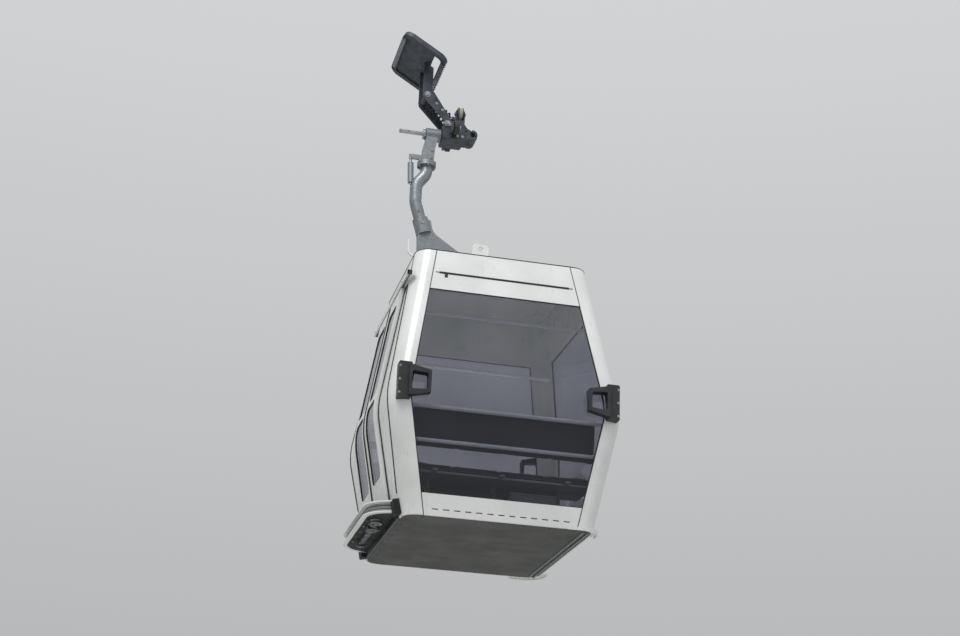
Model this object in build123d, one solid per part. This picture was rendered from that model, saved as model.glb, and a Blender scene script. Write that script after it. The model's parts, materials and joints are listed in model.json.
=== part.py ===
"""Gondola cabin with its hanger arm and its detachable rope grip, in millimetres.

X runs across the cabin, with the doors on the -X side. Y runs along the rope, and Z is up.
The origin is on the rope's axis, in the middle of the grip's jaws. Cabin pieces are drawn from the
underside of the floor, and save_cabin() moves them to their place under the rope.
"""

import os
from math import cos, radians, sin, tan

from build123d import *

# Cabin outline: half sizes at the floor, at the waist and at the eave
rope_to_eave = 1500
cabin_offset = 190
cabin_height = 2415
waist_height = 986
floor_half_width = 810
waist_half_width = 1000
eave_half_width = 766
floor_half_depth = 925
waist_half_depth = 1086
eave_half_depth = 725
waist_radius = 700
corner_radius = 140
wall = 40

# Wall panels
post_width = 165
post_return = 150
sill_height = 180
fascia_height = 407
glass_top = cabin_height - fascia_height
pane = 10
pane_inset = 6
fascia_slot_drop = 241
fascia_slot = 16
fascia_slot_depth = 14
fascia_slot_margin = 25
vent_count = 13
vent_length = 52
vent_height = 9
vent_pitch = 92
vent_level = 50
side_glass_low = 420
side_stile = 60

# Floor, roof and roof fittings
floor_thickness = 70
floor_inset = 15
roof_rise = 75
roof_slope = 190
roof_edge = 24
lug_width = 150
lug_plate = 14
lug_hole_radius = 26
lug_hole_height = 125
lug_offset_x = 140
lug_offset_y = 400
signal_rod_radius = 11
signal_rod_y = -400
signal_rod_height = 205

# Sliding doors on the -X side
door_half_opening = 470
door_header = 325
door_top = cabin_height - door_header
leaf_width = 500
leaf_gap = 8
leaf = 30
leaf_low = 190
leaf_overlap = 25
leaf_high = door_top + leaf_overlap
meeting_gap = 6
leaf_stile = 45
meeting_stile = 85
leaf_glass_low = 420
leaf_top_rail = 130
leaf_rail_height = 1130
leaf_rail = 55
leaf_corner = 60
door_travel = 420
runner_gap = 0.3
runner = 16
runner_length = 60
runner_rise = 45
runner_places = (60, 300)
track_gap = 10
track_height = 48
track_width = 46
track_end = 10

# Station guide rail and step under the doors
guide_reach = 1070
guide_low = 50
guide_height = 100
guide_depth = 40
guide_lip = 14
guide_web = 10
guide_half_length = 650
guide_flare = 120
guide_corner = 260
step = 20

# Corner handles and corner lips
handle_level = 1065
handle_height = 315
handle_outer_x = 942
handle_plate = 112
handle_thickness = 26
handle_wrap = 60
handle_loop = 160
handle_loop_height = 190
handle_bar = 26
handle_proud = 48
handle_corner = 14
seat_gap = 0.2
lip = 12
lip_reach = 45
lip_height = 26

# Benches and rails inside
seat_top = 470
seat_pad = 70
seat_depth = 430
seat_front = 420
seat_half_width = 790
back_low = 560
back_high = 930
back_pad = 60
back_rail_radius = 17
back_lean = 40
seat_to_back = 20
soft_gap = 0.4
rail_radius = 16
rail_height = 1850
bench_tray = 18
leg = 40
leg_setback = 150
bench_leg_places = (-560, 0, 560)
case_left = 110
case_width = 400
case_depth = 270
case_height = 230
case_setback = 60

# Rope, grip and hanger, in the plane across the rope
rope_radius = 25
jaw_length = 190
fixed_jaw_wall = 30
moving_jaw_wall = 23
pivot_x, pivot_z = -250, 70
pivot_radius = 14
pin_clearance = 0.1
cheek_inner = 95
cheek = 15
spring_seat_x, spring_seat_z = -190, 150
spring_anchor_x, spring_anchor_z = -450, 350
spring_radius = 38
spring_wire = 9
spring_coils = 6
spring_spacing = 48
seat_bar_radius = 16
anchor_bar_radius = 28
lever_half = 30
coupling_x, coupling_z = -110, 245
coupling_radius = 64
coupling_width = 50
fork_gap = 6
fork_cheek = 12
axle_radius = 12
side_play = 0.3
wheel_arm = 20
wheel_x = -178
wheel_y = 182
wheel_radius = 62
wheel_width = 45
tray_edge_x, tray_edge_z = -335, 575
tray_tilt = 31
tray_width = 480
tray_half_length = 370
tray_corner = 90
tray_rim = 50
tray_depth = 44
tray_slot = 80
plate = 12
plate_bracket = 90

pin_z = -15
pin_radius = 36
pin_stub_radius = 19
pin_stub_end = -680
hub_left, hub_right = -430, -292
hub_radius = 62
neck_half = 55
neck_half_length = 48
neck_z = -170
flange_x, flange_z = -405, -335
flange_radius = 88
flange = 22
arm_radius = 57
neck_bend_z, neck_bend = -430, 120
bulge_x, bulge_high, bulge_low = -492, -545, -725
bulge_bend = 140
arm_foot_x, arm_foot_z = -412, -985
foot_bend = 240
socket_wall = 16
socket_length = 150
shaft_spread = 580
shaft_z = -1345
shaft_radius = 40
shaft_half_length = 245
bush = 14
bush_length = 62
bush_y = 195
yoke_half = 36
yoke_leg = 55
yoke_run = 48
beam_start = 508
beam_sweep = 140
yoke_corner = 24
bracket = 22
bracket_eye = 18
bracket_foot = 110
base_height = 46
base_width = 90

cabin_place = Pos(cabin_offset, 0, -(rope_to_eave + cabin_height))
reach = 1.5 * waist_half_depth  # past every piece, for cuts

os.makedirs("parts", exist_ok=True)


def save(name, shape):
    shape.label = name
    export_step(shape, f"parts/{name}.step")


def save_cabin(name, shape):
    save(name, cabin_place * shape)


def block(x, y, z):
    """A box from three pairs of limits."""
    (x0, x1), (y0, y1), (z0, z1) = sorted(x), sorted(y), sorted(z)
    return Pos((x0 + x1) / 2, (y0 + y1) / 2, (z0 + z1) / 2) * Box(x1 - x0, y1 - y0, z1 - z0)


def bar_x(radius, x0, x1, y, z):
    return Pos((x0 + x1) / 2, y, z) * Rot(0, 90, 0) * Cylinder(radius, abs(x1 - x0))


def bar_y(radius, y0, y1, x, z):
    return Pos(x, (y0 + y1) / 2, z) * Rot(90, 0, 0) * Cylinder(radius, abs(y1 - y0))


def plate_xz(points, y0, y1, radius=0):
    """A plate in the plane across the rope, from its outline, with every corner rounded."""
    face = make_face(Polyline(*points, close=True))
    if radius:
        face = fillet(face.vertices(), radius)
    return Pos(0, max(y0, y1), 0) * extrude(Plane.XZ * face, abs(y1 - y0))


def profile(floor_half, waist_half, eave_half, inset):
    """Bulged wall outline, run on past the floor and the eave, with the waist as an arc."""
    overrun = 300
    low_slope = (waist_half - floor_half) / waist_height
    high_slope = (waist_half - eave_half) / (cabin_height - waist_height)
    low = floor_half - low_slope * overrun
    high = eave_half - high_slope * overrun
    right = [(low, -overrun), (waist_half, waist_height), (high, cabin_height + overrun)]
    left = [(-x, z) for x, z in reversed(right)]
    face = make_face(Polyline(*right, *left, close=True))
    waist = [v for v in face.vertices() if abs(v.Y - waist_height) < 1]
    face = fillet(waist, waist_radius)
    return offset(face, amount=-inset, kind=Kind.INTERSECTION) if inset else face


def across(inset, y=(-reach, reach)):
    """The outline across the cabin, drawn out along Y."""
    face = profile(floor_half_width, waist_half_width, eave_half_width, inset)
    return Pos(0, max(y), 0) * extrude(Plane.XZ * face, max(y) - min(y))


def along(inset):
    """The outline along the cabin, drawn out along X."""
    face = profile(floor_half_depth, waist_half_depth, eave_half_depth, inset)
    return extrude(Plane.YZ * face, reach, both=True)


def cabin_block(inset):
    """The whole cabin as one block, set in by inset, with rounded upright corners."""
    body = across(inset) & along(inset)
    corners = [e for e in body.edges() if e.bounding_box().size.Z > 1]
    return fillet(corners, corner_radius - inset)


def layer(low, high, x=(-reach, reach), y=(-reach, reach)):
    return block(x, y, (low, high))


outside = cabin_block(0)
inside = cabin_block(wall)
glass_skin = cabin_block(pane_inset) - cabin_block(pane_inset + pane)
floor_pan = cabin_block(floor_inset) & layer(0, floor_thickness)
shell = ((outside - inside) & layer(0, cabin_height)) - floor_pan
end_core = across(post_width)
side_core = along(post_return)


def make_floor():
    save_cabin("floor_pan", floor_pan)


def make_posts():
    corners = shell - end_core - side_core
    # name, sign of X, sign of Y
    for name, sx, sy in (
        ("front_left", -1, -1),
        ("front_right", 1, -1),
        ("rear_left", -1, 1),
        ("rear_right", 1, 1),
    ):
        quarter = block((0, sx * reach), (0, sy * reach), (-100, cabin_height + 100))
        save_cabin(f"post_{name}", corners & quarter)


def make_end(name, sy):
    half = (0, sy * reach)
    wall_band = shell & end_core & layer(0, cabin_height, y=half)
    fascia = wall_band & layer(glass_top, cabin_height)
    slot_low = cabin_height - fascia_slot_drop
    outer = outside & layer(slot_low, slot_low + fascia_slot, y=half)
    slot_core = cabin_block(fascia_slot_depth)
    slot = (outer - slot_core) & across(post_width + fascia_slot_margin)
    save_cabin(f"fascia_{name}", fascia - slot)
    sill = wall_band & layer(0, sill_height)
    for i in range(vent_count):
        x = (i - (vent_count - 1) / 2) * vent_pitch
        z = (vent_level, vent_level + vent_height)
        sill -= block((x - vent_length / 2, x + vent_length / 2), half, z)
    save_cabin(f"sill_{name}", sill)
    window = glass_skin & end_core & layer(sill_height, glass_top, y=half)
    save_cabin(f"window_{name}", window)


def make_right_side():
    band = shell & side_core & layer(0, cabin_height, x=(0, reach))
    opening = along(post_return + side_stile) & layer(side_glass_low, glass_top, x=(0, reach))
    save_cabin("side_frame_right", band - opening)
    save_cabin("window_right", glass_skin & opening)


def make_left_side():
    band = shell & side_core & layer(0, cabin_height, x=(-reach, 0))
    doorway = block((-reach, 0), (-door_half_opening, door_half_opening), (floor_thickness, door_top))
    save_cabin("side_panel_left", band - doorway)


def wall_x(height):
    """Half width of the flat wall above the waist."""
    share = (cabin_height - height) / (cabin_height - waist_height)
    return eave_half_width + (waist_half_width - eave_half_width) * share


def leaf_skin(outer, inner, y):
    half = block((-reach, 0), y, (leaf_low, leaf_high))
    return (across(-outer, y) - across(-inner, y)) & half


def leaf_lights(y0, y1):
    """The two glazed openings of a leaf, below and above its rail."""
    lights = []
    for low, high in (
        (leaf_glass_low, leaf_rail_height - leaf_rail / 2),
        (leaf_rail_height + leaf_rail / 2, leaf_high - leaf_top_rail),
    ):
        face = RectangleRounded(y1 - y0, high - low, leaf_corner)
        face = Pos((y0 + y1) / 2, (low + high) / 2) * face
        lights.append(extrude(Plane.YZ * face, -reach))
    return lights[0] + lights[1]


track_x = -(wall_x(leaf_high) + leaf_gap + leaf / 2)
track_low = leaf_high + track_gap
track_half_length = runner_places[-1] + runner_length + door_travel + track_end


def make_leaf(name, sy):
    """One door leaf hung outside the wall; sy is the side of the meeting line that it covers."""
    near, far = sorted((sy * meeting_gap / 2, sy * leaf_width))
    skin = leaf_skin(leaf_gap + leaf, leaf_gap, (near, far))
    glass_a, glass_b = sorted((sy * meeting_stile, sy * (leaf_width - leaf_stile)))
    lights = leaf_lights(glass_a, glass_b)
    panel = skin - lights
    for place in runner_places:
        y = sorted((sy * place, sy * (place + runner_length)))
        z = (leaf_high - leaf, leaf_high + runner_rise - runner_gap)
        panel += block((track_x - runner / 2, track_x + runner / 2), y, z)
    save_cabin(f"door_leaf_{name}", panel)
    middle = leaf_gap + leaf / 2
    glass = leaf_skin(middle + pane / 2, middle - pane / 2, (near, far)) & lights
    save_cabin(f"door_glass_{name}", glass)


def make_door_track():
    length = (-track_half_length, track_half_length)
    x = (track_x - track_width / 2, track_x + track_width)
    beam = block(x, length, (track_low, track_low + track_height))
    slot_half = runner / 2 + runner_gap
    slot = block((track_x - slot_half, track_x + slot_half), length, (track_low, leaf_high + runner_rise))
    save_cabin("door_track", beam - slot - outside)


def guide_plan(inset):
    inner_x = floor_half_width - wall
    points = [
        (-inner_x, -(guide_half_length + guide_flare)),
        (-guide_reach, -guide_half_length),
        (-guide_reach, guide_half_length),
        (-inner_x, guide_half_length + guide_flare),
    ]
    face = make_face(Polyline(*points, close=True))
    tips = [v for v in face.vertices() if v.X < -inner_x - 1]
    face = fillet(tips, guide_corner)
    return offset(face, amount=-inset, kind=Kind.INTERSECTION) if inset else face


def make_door_guide():
    ring = extrude(guide_plan(0) - guide_plan(guide_depth), guide_height)
    recess = extrude(guide_plan(-1) - guide_plan(guide_depth - guide_web), guide_height - 2 * guide_lip)
    rail = Pos(0, 0, guide_low) * (ring - Pos(0, 0, guide_lip) * recess)
    keep = block((-reach, -floor_half_width), (-reach, reach), (guide_low, guide_low + guide_height))
    save_cabin("door_guide", (rail & keep) - outside)
    tray = Pos(0, 0, guide_low) * extrude(guide_plan(guide_depth), step)
    save_cabin("door_step", (tray & keep) - outside)


def make_door_drive():
    """Lever, roller and rod that work the doors, on the underside of the step."""
    x = -(floor_half_width + guide_reach) / 2
    roller = Pos(x, -430, guide_low - 16) * Cylinder(48, 32)
    lever = Pos(x, -330, guide_low - 30) * Rot(0, 0, 62) * Box(230, 40, 14)
    foot = Pos(x, -230, guide_low - 22) * Box(90, 120, 44)
    bar = block((x - 18, x + 18), (-230, 330), (guide_low - 36, guide_low))
    end = Pos(x, 330, guide_low - 25) * Cylinder(38, 50)
    save_cabin("door_drive", roller + lever + foot + bar + end)


def make_handles():
    """Four black buffers on the corner posts: a plate on the post and a grab loop before the glass."""
    plate_in = handle_outer_x - handle_plate
    inner = plate_in - handle_loop
    front = waist_half_depth
    low, high = handle_level - handle_height / 2, handle_level + handle_height / 2
    pad = block((plate_in, handle_outer_x), (front - handle_wrap, front + handle_thickness), (low, high))
    pad = fillet(pad.edges().filter_by(Axis.Y), handle_corner)
    tip_low, tip_high = handle_level - handle_loop_height / 2, handle_level + handle_loop_height / 2
    root = plate_in + handle_bar
    root_low, root_high = low + handle_bar, high - handle_bar
    outline = [
        (root, root_low),
        (root, root_high),
        (plate_in, root_high),
        (inner, tip_high),
        (inner, tip_low),
        (plate_in, root_low),
    ]
    hole = [
        (plate_in, root_high - 2 * handle_bar),
        (inner + handle_bar, tip_high - handle_bar),
        (inner + handle_bar, tip_low + handle_bar),
        (plate_in, root_low + 2 * handle_bar),
    ]
    loop = plate_xz(outline, front - handle_wrap, front + handle_proud)
    loop -= plate_xz(hole, front - reach, front + reach, handle_corner)
    one = pad + loop - cabin_block(-seat_gap)
    right = [one, mirror(one, Plane.XZ)]
    left = [mirror(item, Plane.YZ) for item in right]
    save_cabin("corner_handles", Compound([s for item in right + left for s in item.solids()]))


def make_corner_lips():
    """Thin guard lips round the two floor corners away from the doors."""
    outer = cabin_block(-lip_reach)
    ring = (outer - cabin_block(-lip_reach + lip)) & layer(-lip_height / 2, lip_height / 2)
    shelf = (outer - outside) & layer(0, lip)
    corner = block((floor_half_width - 260, reach), (floor_half_depth - 200, reach), (-50, 100))
    one = (ring + shelf) & corner
    save_cabin("corner_lips", Compound([*one.solids(), *mirror(one, Plane.XZ).solids()]))


def roof_block(low, inset, rise):
    """A shallow hood with rounded corners, from the eave up."""
    width, depth = eave_half_width - inset, eave_half_depth - inset
    base = RectangleRounded(2 * width, 2 * depth, corner_radius - inset)
    crown = RectangleRounded(2 * (width - roof_slope), 2 * (depth - roof_slope), corner_radius - inset)
    return loft([Pos(0, 0, low) * base, Pos(0, 0, low + rise) * crown], ruled=True)


def make_roof():
    hood = roof_block(cabin_height, 0, roof_rise)
    hood = fillet(hood.faces().sort_by(Axis.Z)[-1].edges(), roof_edge)
    hollow = roof_block(cabin_height, wall, roof_rise - wall)
    save_cabin("roof_shell", hood - hollow)


roof_top = cabin_height + roof_rise
shaft_places = (cabin_offset - shaft_spread, cabin_offset + shaft_spread)


def make_lugs():
    """Two lifting lugs on the roof."""
    width, height = lug_width, lug_hole_height + 50
    outline = [(-width / 2, 0), (-width / 2, height), (width / 2, height), (width / 2, 0)]
    plate_solid = plate_xz(outline, -lug_plate / 2, lug_plate / 2)
    top_edges = plate_solid.edges().filter_by(Axis.Y).sort_by(Axis.Z)[-2:]
    plate_solid = fillet(top_edges, 38)
    hole = bar_y(lug_hole_radius, -lug_plate, lug_plate, 0, lug_hole_height)
    foot = block((-width / 2, width / 2), (-35, 35), (0, 10))
    lug = plate_solid - hole + foot
    lugs = [Pos(s * lug_offset_x, s * lug_offset_y, roof_top) * lug for s in (-1, 1)]
    save_cabin("roof_lugs", Compound([s for item in lugs for s in item.solids()]))


def make_contact_rod():
    """Bent signal rod on the edge of the hood, above the doors."""
    x, eave = -eave_half_width, cabin_height
    points = [(x + 80, eave + 18), (x - 24, eave + 80), (x - 30, eave + signal_rod_height)]
    path = FilletPolyline(*points, radius=40)
    path = Pos(0, signal_rod_y, 0) * (Plane.XZ * path)
    rod = sweep(Plane(path @ 0, z_dir=path % 0) * Circle(signal_rod_radius), path)
    save_cabin("contact_rod", rod - roof_block(cabin_height, 0, roof_rise))


def make_benches():
    """Both benches: cushion, backrest, tray with its rear arms, and three legs."""
    back_y = seat_front + seat_depth + seat_to_back
    tray_z = (seat_top - seat_pad - bench_tray, seat_top - seat_pad)
    # name, sign of Y
    for name, s in (("front", -1), ("rear", 1)):
        y = (s * seat_front, s * (seat_front + seat_depth))
        cushion = block((-seat_half_width, seat_half_width), y, (seat_top - seat_pad, seat_top))
        cushion = fillet(cushion.edges().filter_by(Axis.X), 22)
        save_cabin(f"seat_{name}", cushion)
        outline = [
            (back_y, back_low),
            (back_y + back_pad, back_low),
            (back_y + back_pad + back_lean, back_high),
            (back_y + back_lean, back_high),
        ]
        face = make_face(Polyline(*[(s * a, b) for a, b in outline], close=True))
        backrest = extrude(Plane.YZ * face, seat_half_width, both=True)
        backrest = fillet(backrest.edges().filter_by(Axis.X), 18)
        save_cabin(f"backrest_{name}", backrest)
        frame = block((-seat_half_width, seat_half_width), y, tray_z)
        legs = []
        for x in bench_leg_places:
            sides = (x - leg / 2, x + leg / 2)
            frame += block(sides, (y[0], s * (back_y + back_pad)), tray_z)
            leg_y = (s * (seat_front + leg_setback), s * (seat_front + leg_setback + leg))
            legs.append(block(sides, leg_y, (floor_thickness, tray_z[0])))
        save_cabin(f"bench_frame_{name}", frame)
        save_cabin(f"bench_legs_{name}", Compound(legs))


def make_grab_rails():
    """A high rail at each end of the cabin, and two rails behind each backrest that carry it."""
    rails = []
    for s in (-1, 1):
        rails.append(bar_x(rail_radius, -reach, reach, s * (eave_half_depth - 60), rail_height) & inside)
        back_y = seat_front + seat_depth + seat_to_back + back_pad
        for z in (back_high - 30, back_low + 60):
            lean = back_lean * (z - back_low) / (back_high - back_low)
            rail_y = s * (back_y + lean + back_rail_radius + soft_gap)
            rails.append(bar_x(back_rail_radius, -reach, reach, rail_y, z) & inside)
    save_cabin("grab_rails", Compound([s for r in rails for s in r.solids()]))


def make_equipment_box():
    x = (case_left, case_left + case_width)
    near = -(seat_front + case_setback)
    case = block(x, (near - case_depth, near), (floor_thickness, floor_thickness + case_height))
    save_cabin("equipment_box", fillet(case.edges().filter_by(Axis.Z), 14))


def ring_sector(inner, outer, start, end, y_half):
    """A ring sector round the rope; angles in degrees, from +X towards +Z."""
    arc = [
        (outer * cos(radians(a)), outer * sin(radians(a)))
        for a in (start, (start + end) / 2, end)
    ]
    arc_in = [
        (inner * cos(radians(a)), inner * sin(radians(a)))
        for a in (end, (start + end) / 2, start)
    ]
    edges = [
        ThreePointArc(*arc),
        Line(arc[2], arc_in[0]),
        ThreePointArc(*arc_in),
        Line(arc_in[2], arc[0]),
    ]
    face = make_face(edges)
    return extrude(Plane.XZ * face, y_half, both=True)


def make_fixed_jaw():
    ring = ring_sector(rope_radius, rope_radius + fixed_jaw_wall, 118, 328, jaw_length / 2)
    heel = block((-75, -rope_radius - 8), (-jaw_length / 2, jaw_length / 2), (-50, 18))
    rope = bar_y(rope_radius, -reach, reach, 0, 0)
    save("fixed_jaw", ring + heel - rope)


def grip_cheeks():
    """The two side plates that hold the jaw's pivot below and the springs' anchor bar above."""
    outline = [
        (-284, -75),
        (-75, -75),
        (-75, 26),
        (-190, 60),
        (-215, 120),
        (spring_anchor_x + 55, spring_anchor_z + 42),
        (spring_anchor_x - 50, spring_anchor_z + 22),
        (spring_anchor_x - 40, spring_anchor_z - 28),
        (-284, 104),
    ]
    y1 = cheek_inner + cheek
    return plate_xz(outline, -y1, -cheek_inner, 14) + plate_xz(outline, cheek_inner, y1, 14)


def make_grip_body():
    y1 = cheek_inner + cheek
    body = grip_cheeks() + block((-284, -75), (-cheek_inner, cheek_inner), (-75, 8))
    body += bar_y(anchor_bar_radius, -y1, y1, spring_anchor_x, spring_anchor_z)
    body += bar_y(pivot_radius, -y1 - 8, y1 + 8, pivot_x, pivot_z)
    arm_x = wheel_x - wheel_width / 2 - wheel_arm - 8
    tread = (wheel_x - wheel_width / 2 - side_play, wheel_x + wheel_width / 2 + side_play)
    for s in (-1, 1):
        y = s * wheel_y
        body += block((arm_x, arm_x + wheel_arm), (s * y1, s * (wheel_y + 40)), (-44, 44))
        body += bar_x(axle_radius, arm_x, tread[1] + 10, y, 0)
        body += bar_x(axle_radius + 10, arm_x, tread[0], y, 0)
        body += bar_x(axle_radius + 10, tread[1], tread[1] + 12, y, 0)
    save("grip_body", body)


def make_friction_plate():
    """Tilted tray above the grip, which the station's tyres press on, and its two brackets."""
    slope = tan(radians(tray_tilt))
    tray_plane = Plane((tray_edge_x, 0, tray_edge_z), x_dir=(-1, 0, slope), z_dir=(slope, 0, 1))
    middle = Pos(tray_width / 2, 0)
    edge = middle * RectangleRounded(tray_width, 2 * tray_half_length, tray_corner)
    inner_width, inner_length = tray_width - 2 * tray_rim, 2 * (tray_half_length - tray_rim)
    well = middle * RectangleRounded(inner_width, inner_length, tray_corner - tray_rim)
    slot = Pos(tray_rim + tray_slot / 2, 0) * Rectangle(tray_slot, inner_length)
    panel_low = (tray_depth - plate) / 2
    tray = extrude(edge - well, tray_depth) + Pos(0, 0, panel_low) * extrude(well - slot, plate)
    tray = tray_plane.location * tray

    def panel_z(x):
        return tray_edge_z + (tray_edge_x - x) * slope + tray_depth / 2

    x0, x1 = spring_anchor_x - plate_bracket / 2, spring_anchor_x + plate_bracket / 2
    outline = [(x0, spring_anchor_z), (x1, spring_anchor_z), (x1, panel_z(x1)), (x0, panel_z(x0))]
    for s in (-1, 1):
        tray += plate_xz(outline, s * cheek_inner, s * (cheek_inner + cheek))
    tray += bar_y(anchor_bar_radius / 2, -cheek_inner, cheek_inner, spring_anchor_x, spring_anchor_z + 120)
    save("friction_plate", tray - grip_cheeks())


def make_lever():
    outline = [
        (-276, 50),
        (-276, 92),
        (-240, 108),
        (-202, 156),
        (-186, 177),
        (-100, 176),
        (-40, 94),
        (20, 60),
        (30, 34),
        (4, 36),
        (-8, 62),
        (-60, 64),
        (-120, 70),
        (-215, 46),
    ]
    body = plate_xz(outline, -lever_half, lever_half)
    body += bar_y(pivot_radius + 14, -lever_half - 30, lever_half + 30, pivot_x, pivot_z)
    body += bar_y(seat_bar_radius, -cheek_inner + 7, cheek_inner - 7, spring_seat_x, spring_seat_z)
    body += ring_sector(rope_radius, rope_radius + moving_jaw_wall, -14, 96, jaw_length / 2)
    half = coupling_width / 2 + fork_gap
    fork_low = coupling_z - coupling_radius - 12
    for s in (-1, 1):
        x = (coupling_x + s * half, coupling_x + s * (half + fork_cheek))
        body += block(x, (-lever_half, lever_half), (fork_low - 30, coupling_z + 24))
    base_x = (coupling_x - half - fork_cheek, coupling_x + half + fork_cheek)
    body += block(base_x, (-lever_half, lever_half), (fork_low - 45, fork_low))
    body += bar_x(axle_radius, base_x[0] - 6, base_x[1] + 6, 0, coupling_z)
    body -= bar_y(pivot_radius + pin_clearance, -reach, reach, pivot_x, pivot_z)
    body -= bar_y(rope_radius, -reach, reach, 0, 0)
    save("jaw_lever", body)


def wheel(radius, width, bore):
    """A wheel on the X axis, with a recess in each side between its hub and its rim."""
    hub, rim, dish, half = bore + 14, radius - 14, 9, width / 2
    points = [
        (bore, -half),
        (hub, -half),
        (hub, -half + dish),
        (rim, -half + dish),
        (rim, -half),
        (radius, -half),
        (radius, half),
        (rim, half),
        (rim, half - dish),
        (hub, half - dish),
        (hub, half),
        (bore, half),
    ]
    face = make_face(Polyline(*points, close=True))
    return Rot(0, 90, 0) * revolve(Plane.XZ * face, Axis.Z)


def make_wheels():
    bore = axle_radius + pin_clearance
    save("coupling_roller", Pos(coupling_x, 0, coupling_z) * wheel(coupling_radius, coupling_width, bore))
    for name, s in (("front", -1), ("rear", 1)):
        save(f"running_wheel_{name}", Pos(wheel_x, s * wheel_y, 0) * wheel(wheel_radius, wheel_width, bore))


def make_springs():
    """Two coil springs between the grip body's anchor bar and the lever's seat bar."""
    dx, dz = spring_anchor_x - spring_seat_x, spring_anchor_z - spring_seat_z
    span = (dx**2 + dz**2) ** 0.5
    start = seat_bar_radius + 0.3
    length = span - start - anchor_bar_radius - 0.3
    pitch = length / spring_coils
    inner = spring_radius - 2 * spring_wire
    points = [(inner, 0)]
    for i in range(spring_coils):
        points += [(spring_radius - 5, i * pitch), (spring_radius, (i + 0.5) * pitch)]
    points += [(spring_radius - 5, length), (inner, length)]
    face = make_face(Polyline(*points, close=True))
    coil = revolve(Plane.XZ * face, Axis.Z)
    springs = []
    for s in (-1, 1):
        seat = Plane((spring_seat_x, s * spring_spacing, spring_seat_z), x_dir=(0, 1, 0), z_dir=(dx, 0, dz))
        springs.append(seat.offset(start).location * coil)
    save("jaw_springs", Compound([c for item in springs for c in item.solids()]))


def make_hanger_pin():
    core = bar_x(pin_radius, hub_left - 12, -284, 0, pin_z)
    stub = bar_x(pin_stub_radius, pin_stub_end, hub_left, 0, pin_z)
    nut = bar_x(pin_radius + 14, hub_left - 26, hub_left - 6, 0, pin_z)
    save("hanger_pin", core + stub + nut)


def make_hanger_head():
    hub = bar_x(hub_radius, hub_left, hub_right, 0, pin_z)
    foot = flange_z + flange / 2
    outline = [
        (hub_left + 15, pin_z),
        (hub_right - 13, pin_z),
        (flange_x + neck_half + 10, neck_z),
        (flange_x + neck_half, foot),
        (flange_x - neck_half, foot),
        (flange_x - neck_half + 12, neck_z),
    ]
    head = hub + plate_xz(outline, -neck_half_length, neck_half_length)
    head += Pos(flange_x, 0, flange_z + flange / 2) * Cylinder(flange_radius, flange)
    bore = bar_x(pin_radius + pin_clearance, -reach, 0, 0, pin_z)
    save("hanger_head", (head & block((-reach, 0), (-reach, reach), (flange_z, reach))) - bore)


def make_hanger_arm():
    points = [
        (flange_x, flange_z - flange),
        (flange_x, neck_bend_z),
        (bulge_x, bulge_high),
        (bulge_x, bulge_low),
        (arm_foot_x, arm_foot_z),
    ]
    path = Plane.XZ * FilletPolyline(*points, radius=(neck_bend, bulge_bend, foot_bend))
    tube = sweep(Plane(path @ 0, z_dir=path % 0) * Circle(arm_radius), path)
    disc = Pos(flange_x, 0, flange_z - flange / 2) * Cylinder(flange_radius, flange)
    tube = (tube & block((-reach, 0), (-reach, reach), (-reach, flange_z - 2))) + disc
    save("hanger_arm", tube)


def make_hanger_yoke():
    """Cast yoke from the arm's foot: a leg to the near shaft, and a long beam to the far one."""
    near, far = shaft_places
    low = shaft_z - shaft_radius
    # X, Z and radius of each corner
    corners = [
        (arm_foot_x - 58, arm_foot_z + 75, yoke_corner),
        (arm_foot_x + 67, arm_foot_z + 85, yoke_corner),
        (arm_foot_x + 90, arm_foot_z - 38, beam_sweep),
        (arm_foot_x + beam_start, shaft_z + yoke_run, beam_sweep),
        (far + yoke_leg, shaft_z + yoke_run, yoke_corner),
        (far + yoke_leg, low, yoke_corner),
        (arm_foot_x + beam_start - 73, low, beam_sweep),
        (near + yoke_leg, arm_foot_z - 178, 2 * yoke_corner),
        (near + yoke_leg, low, yoke_corner),
        (near - yoke_leg, low, yoke_corner),
        (near - yoke_leg - 10, arm_foot_z - 115, beam_sweep),
    ]
    face = make_face(Polyline(*[(x, z) for x, z, _ in corners], close=True))
    for x, z, radius in corners:
        face = fillet(face.vertices().sort_by_distance((x, z))[0], radius)
    yoke = extrude(Plane.XZ * face, yoke_half, both=True) + arm_socket()
    for x in shaft_places:
        yoke += bar_y(shaft_radius, -shaft_half_length, shaft_half_length, x, shaft_z)
    save("hanger_yoke", yoke - arm_core())


def arm_end():
    """Plane across the lower end of the arm's tube, facing back up the tube."""
    foot = Vector(arm_foot_x, 0, arm_foot_z)
    return Plane(foot, z_dir=Vector(bulge_x, 0, bulge_low) - foot)


def arm_socket():
    """Collar on the yoke that the arm's tube ends in."""
    return arm_end() * Pos(0, 0, 20) * Cylinder(arm_radius + socket_wall, socket_length)


def arm_core():
    length = abs(bulge_low - arm_foot_z)
    return arm_end() * Pos(0, 0, length / 2) * Cylinder(arm_radius, length)


def make_bushes():
    rings = []
    for x in shaft_places:
        for s in (-1, 1):
            y0, y1 = s * bush_y - bush_length / 2, s * bush_y + bush_length / 2
            outer = bar_y(shaft_radius + bush, y0, y1, x, shaft_z)
            rings.append(outer - bar_y(shaft_radius, -reach, reach, x, shaft_z))
    save("suspension_bushes", Compound([s for r in rings for s in r.solids()]))


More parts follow.
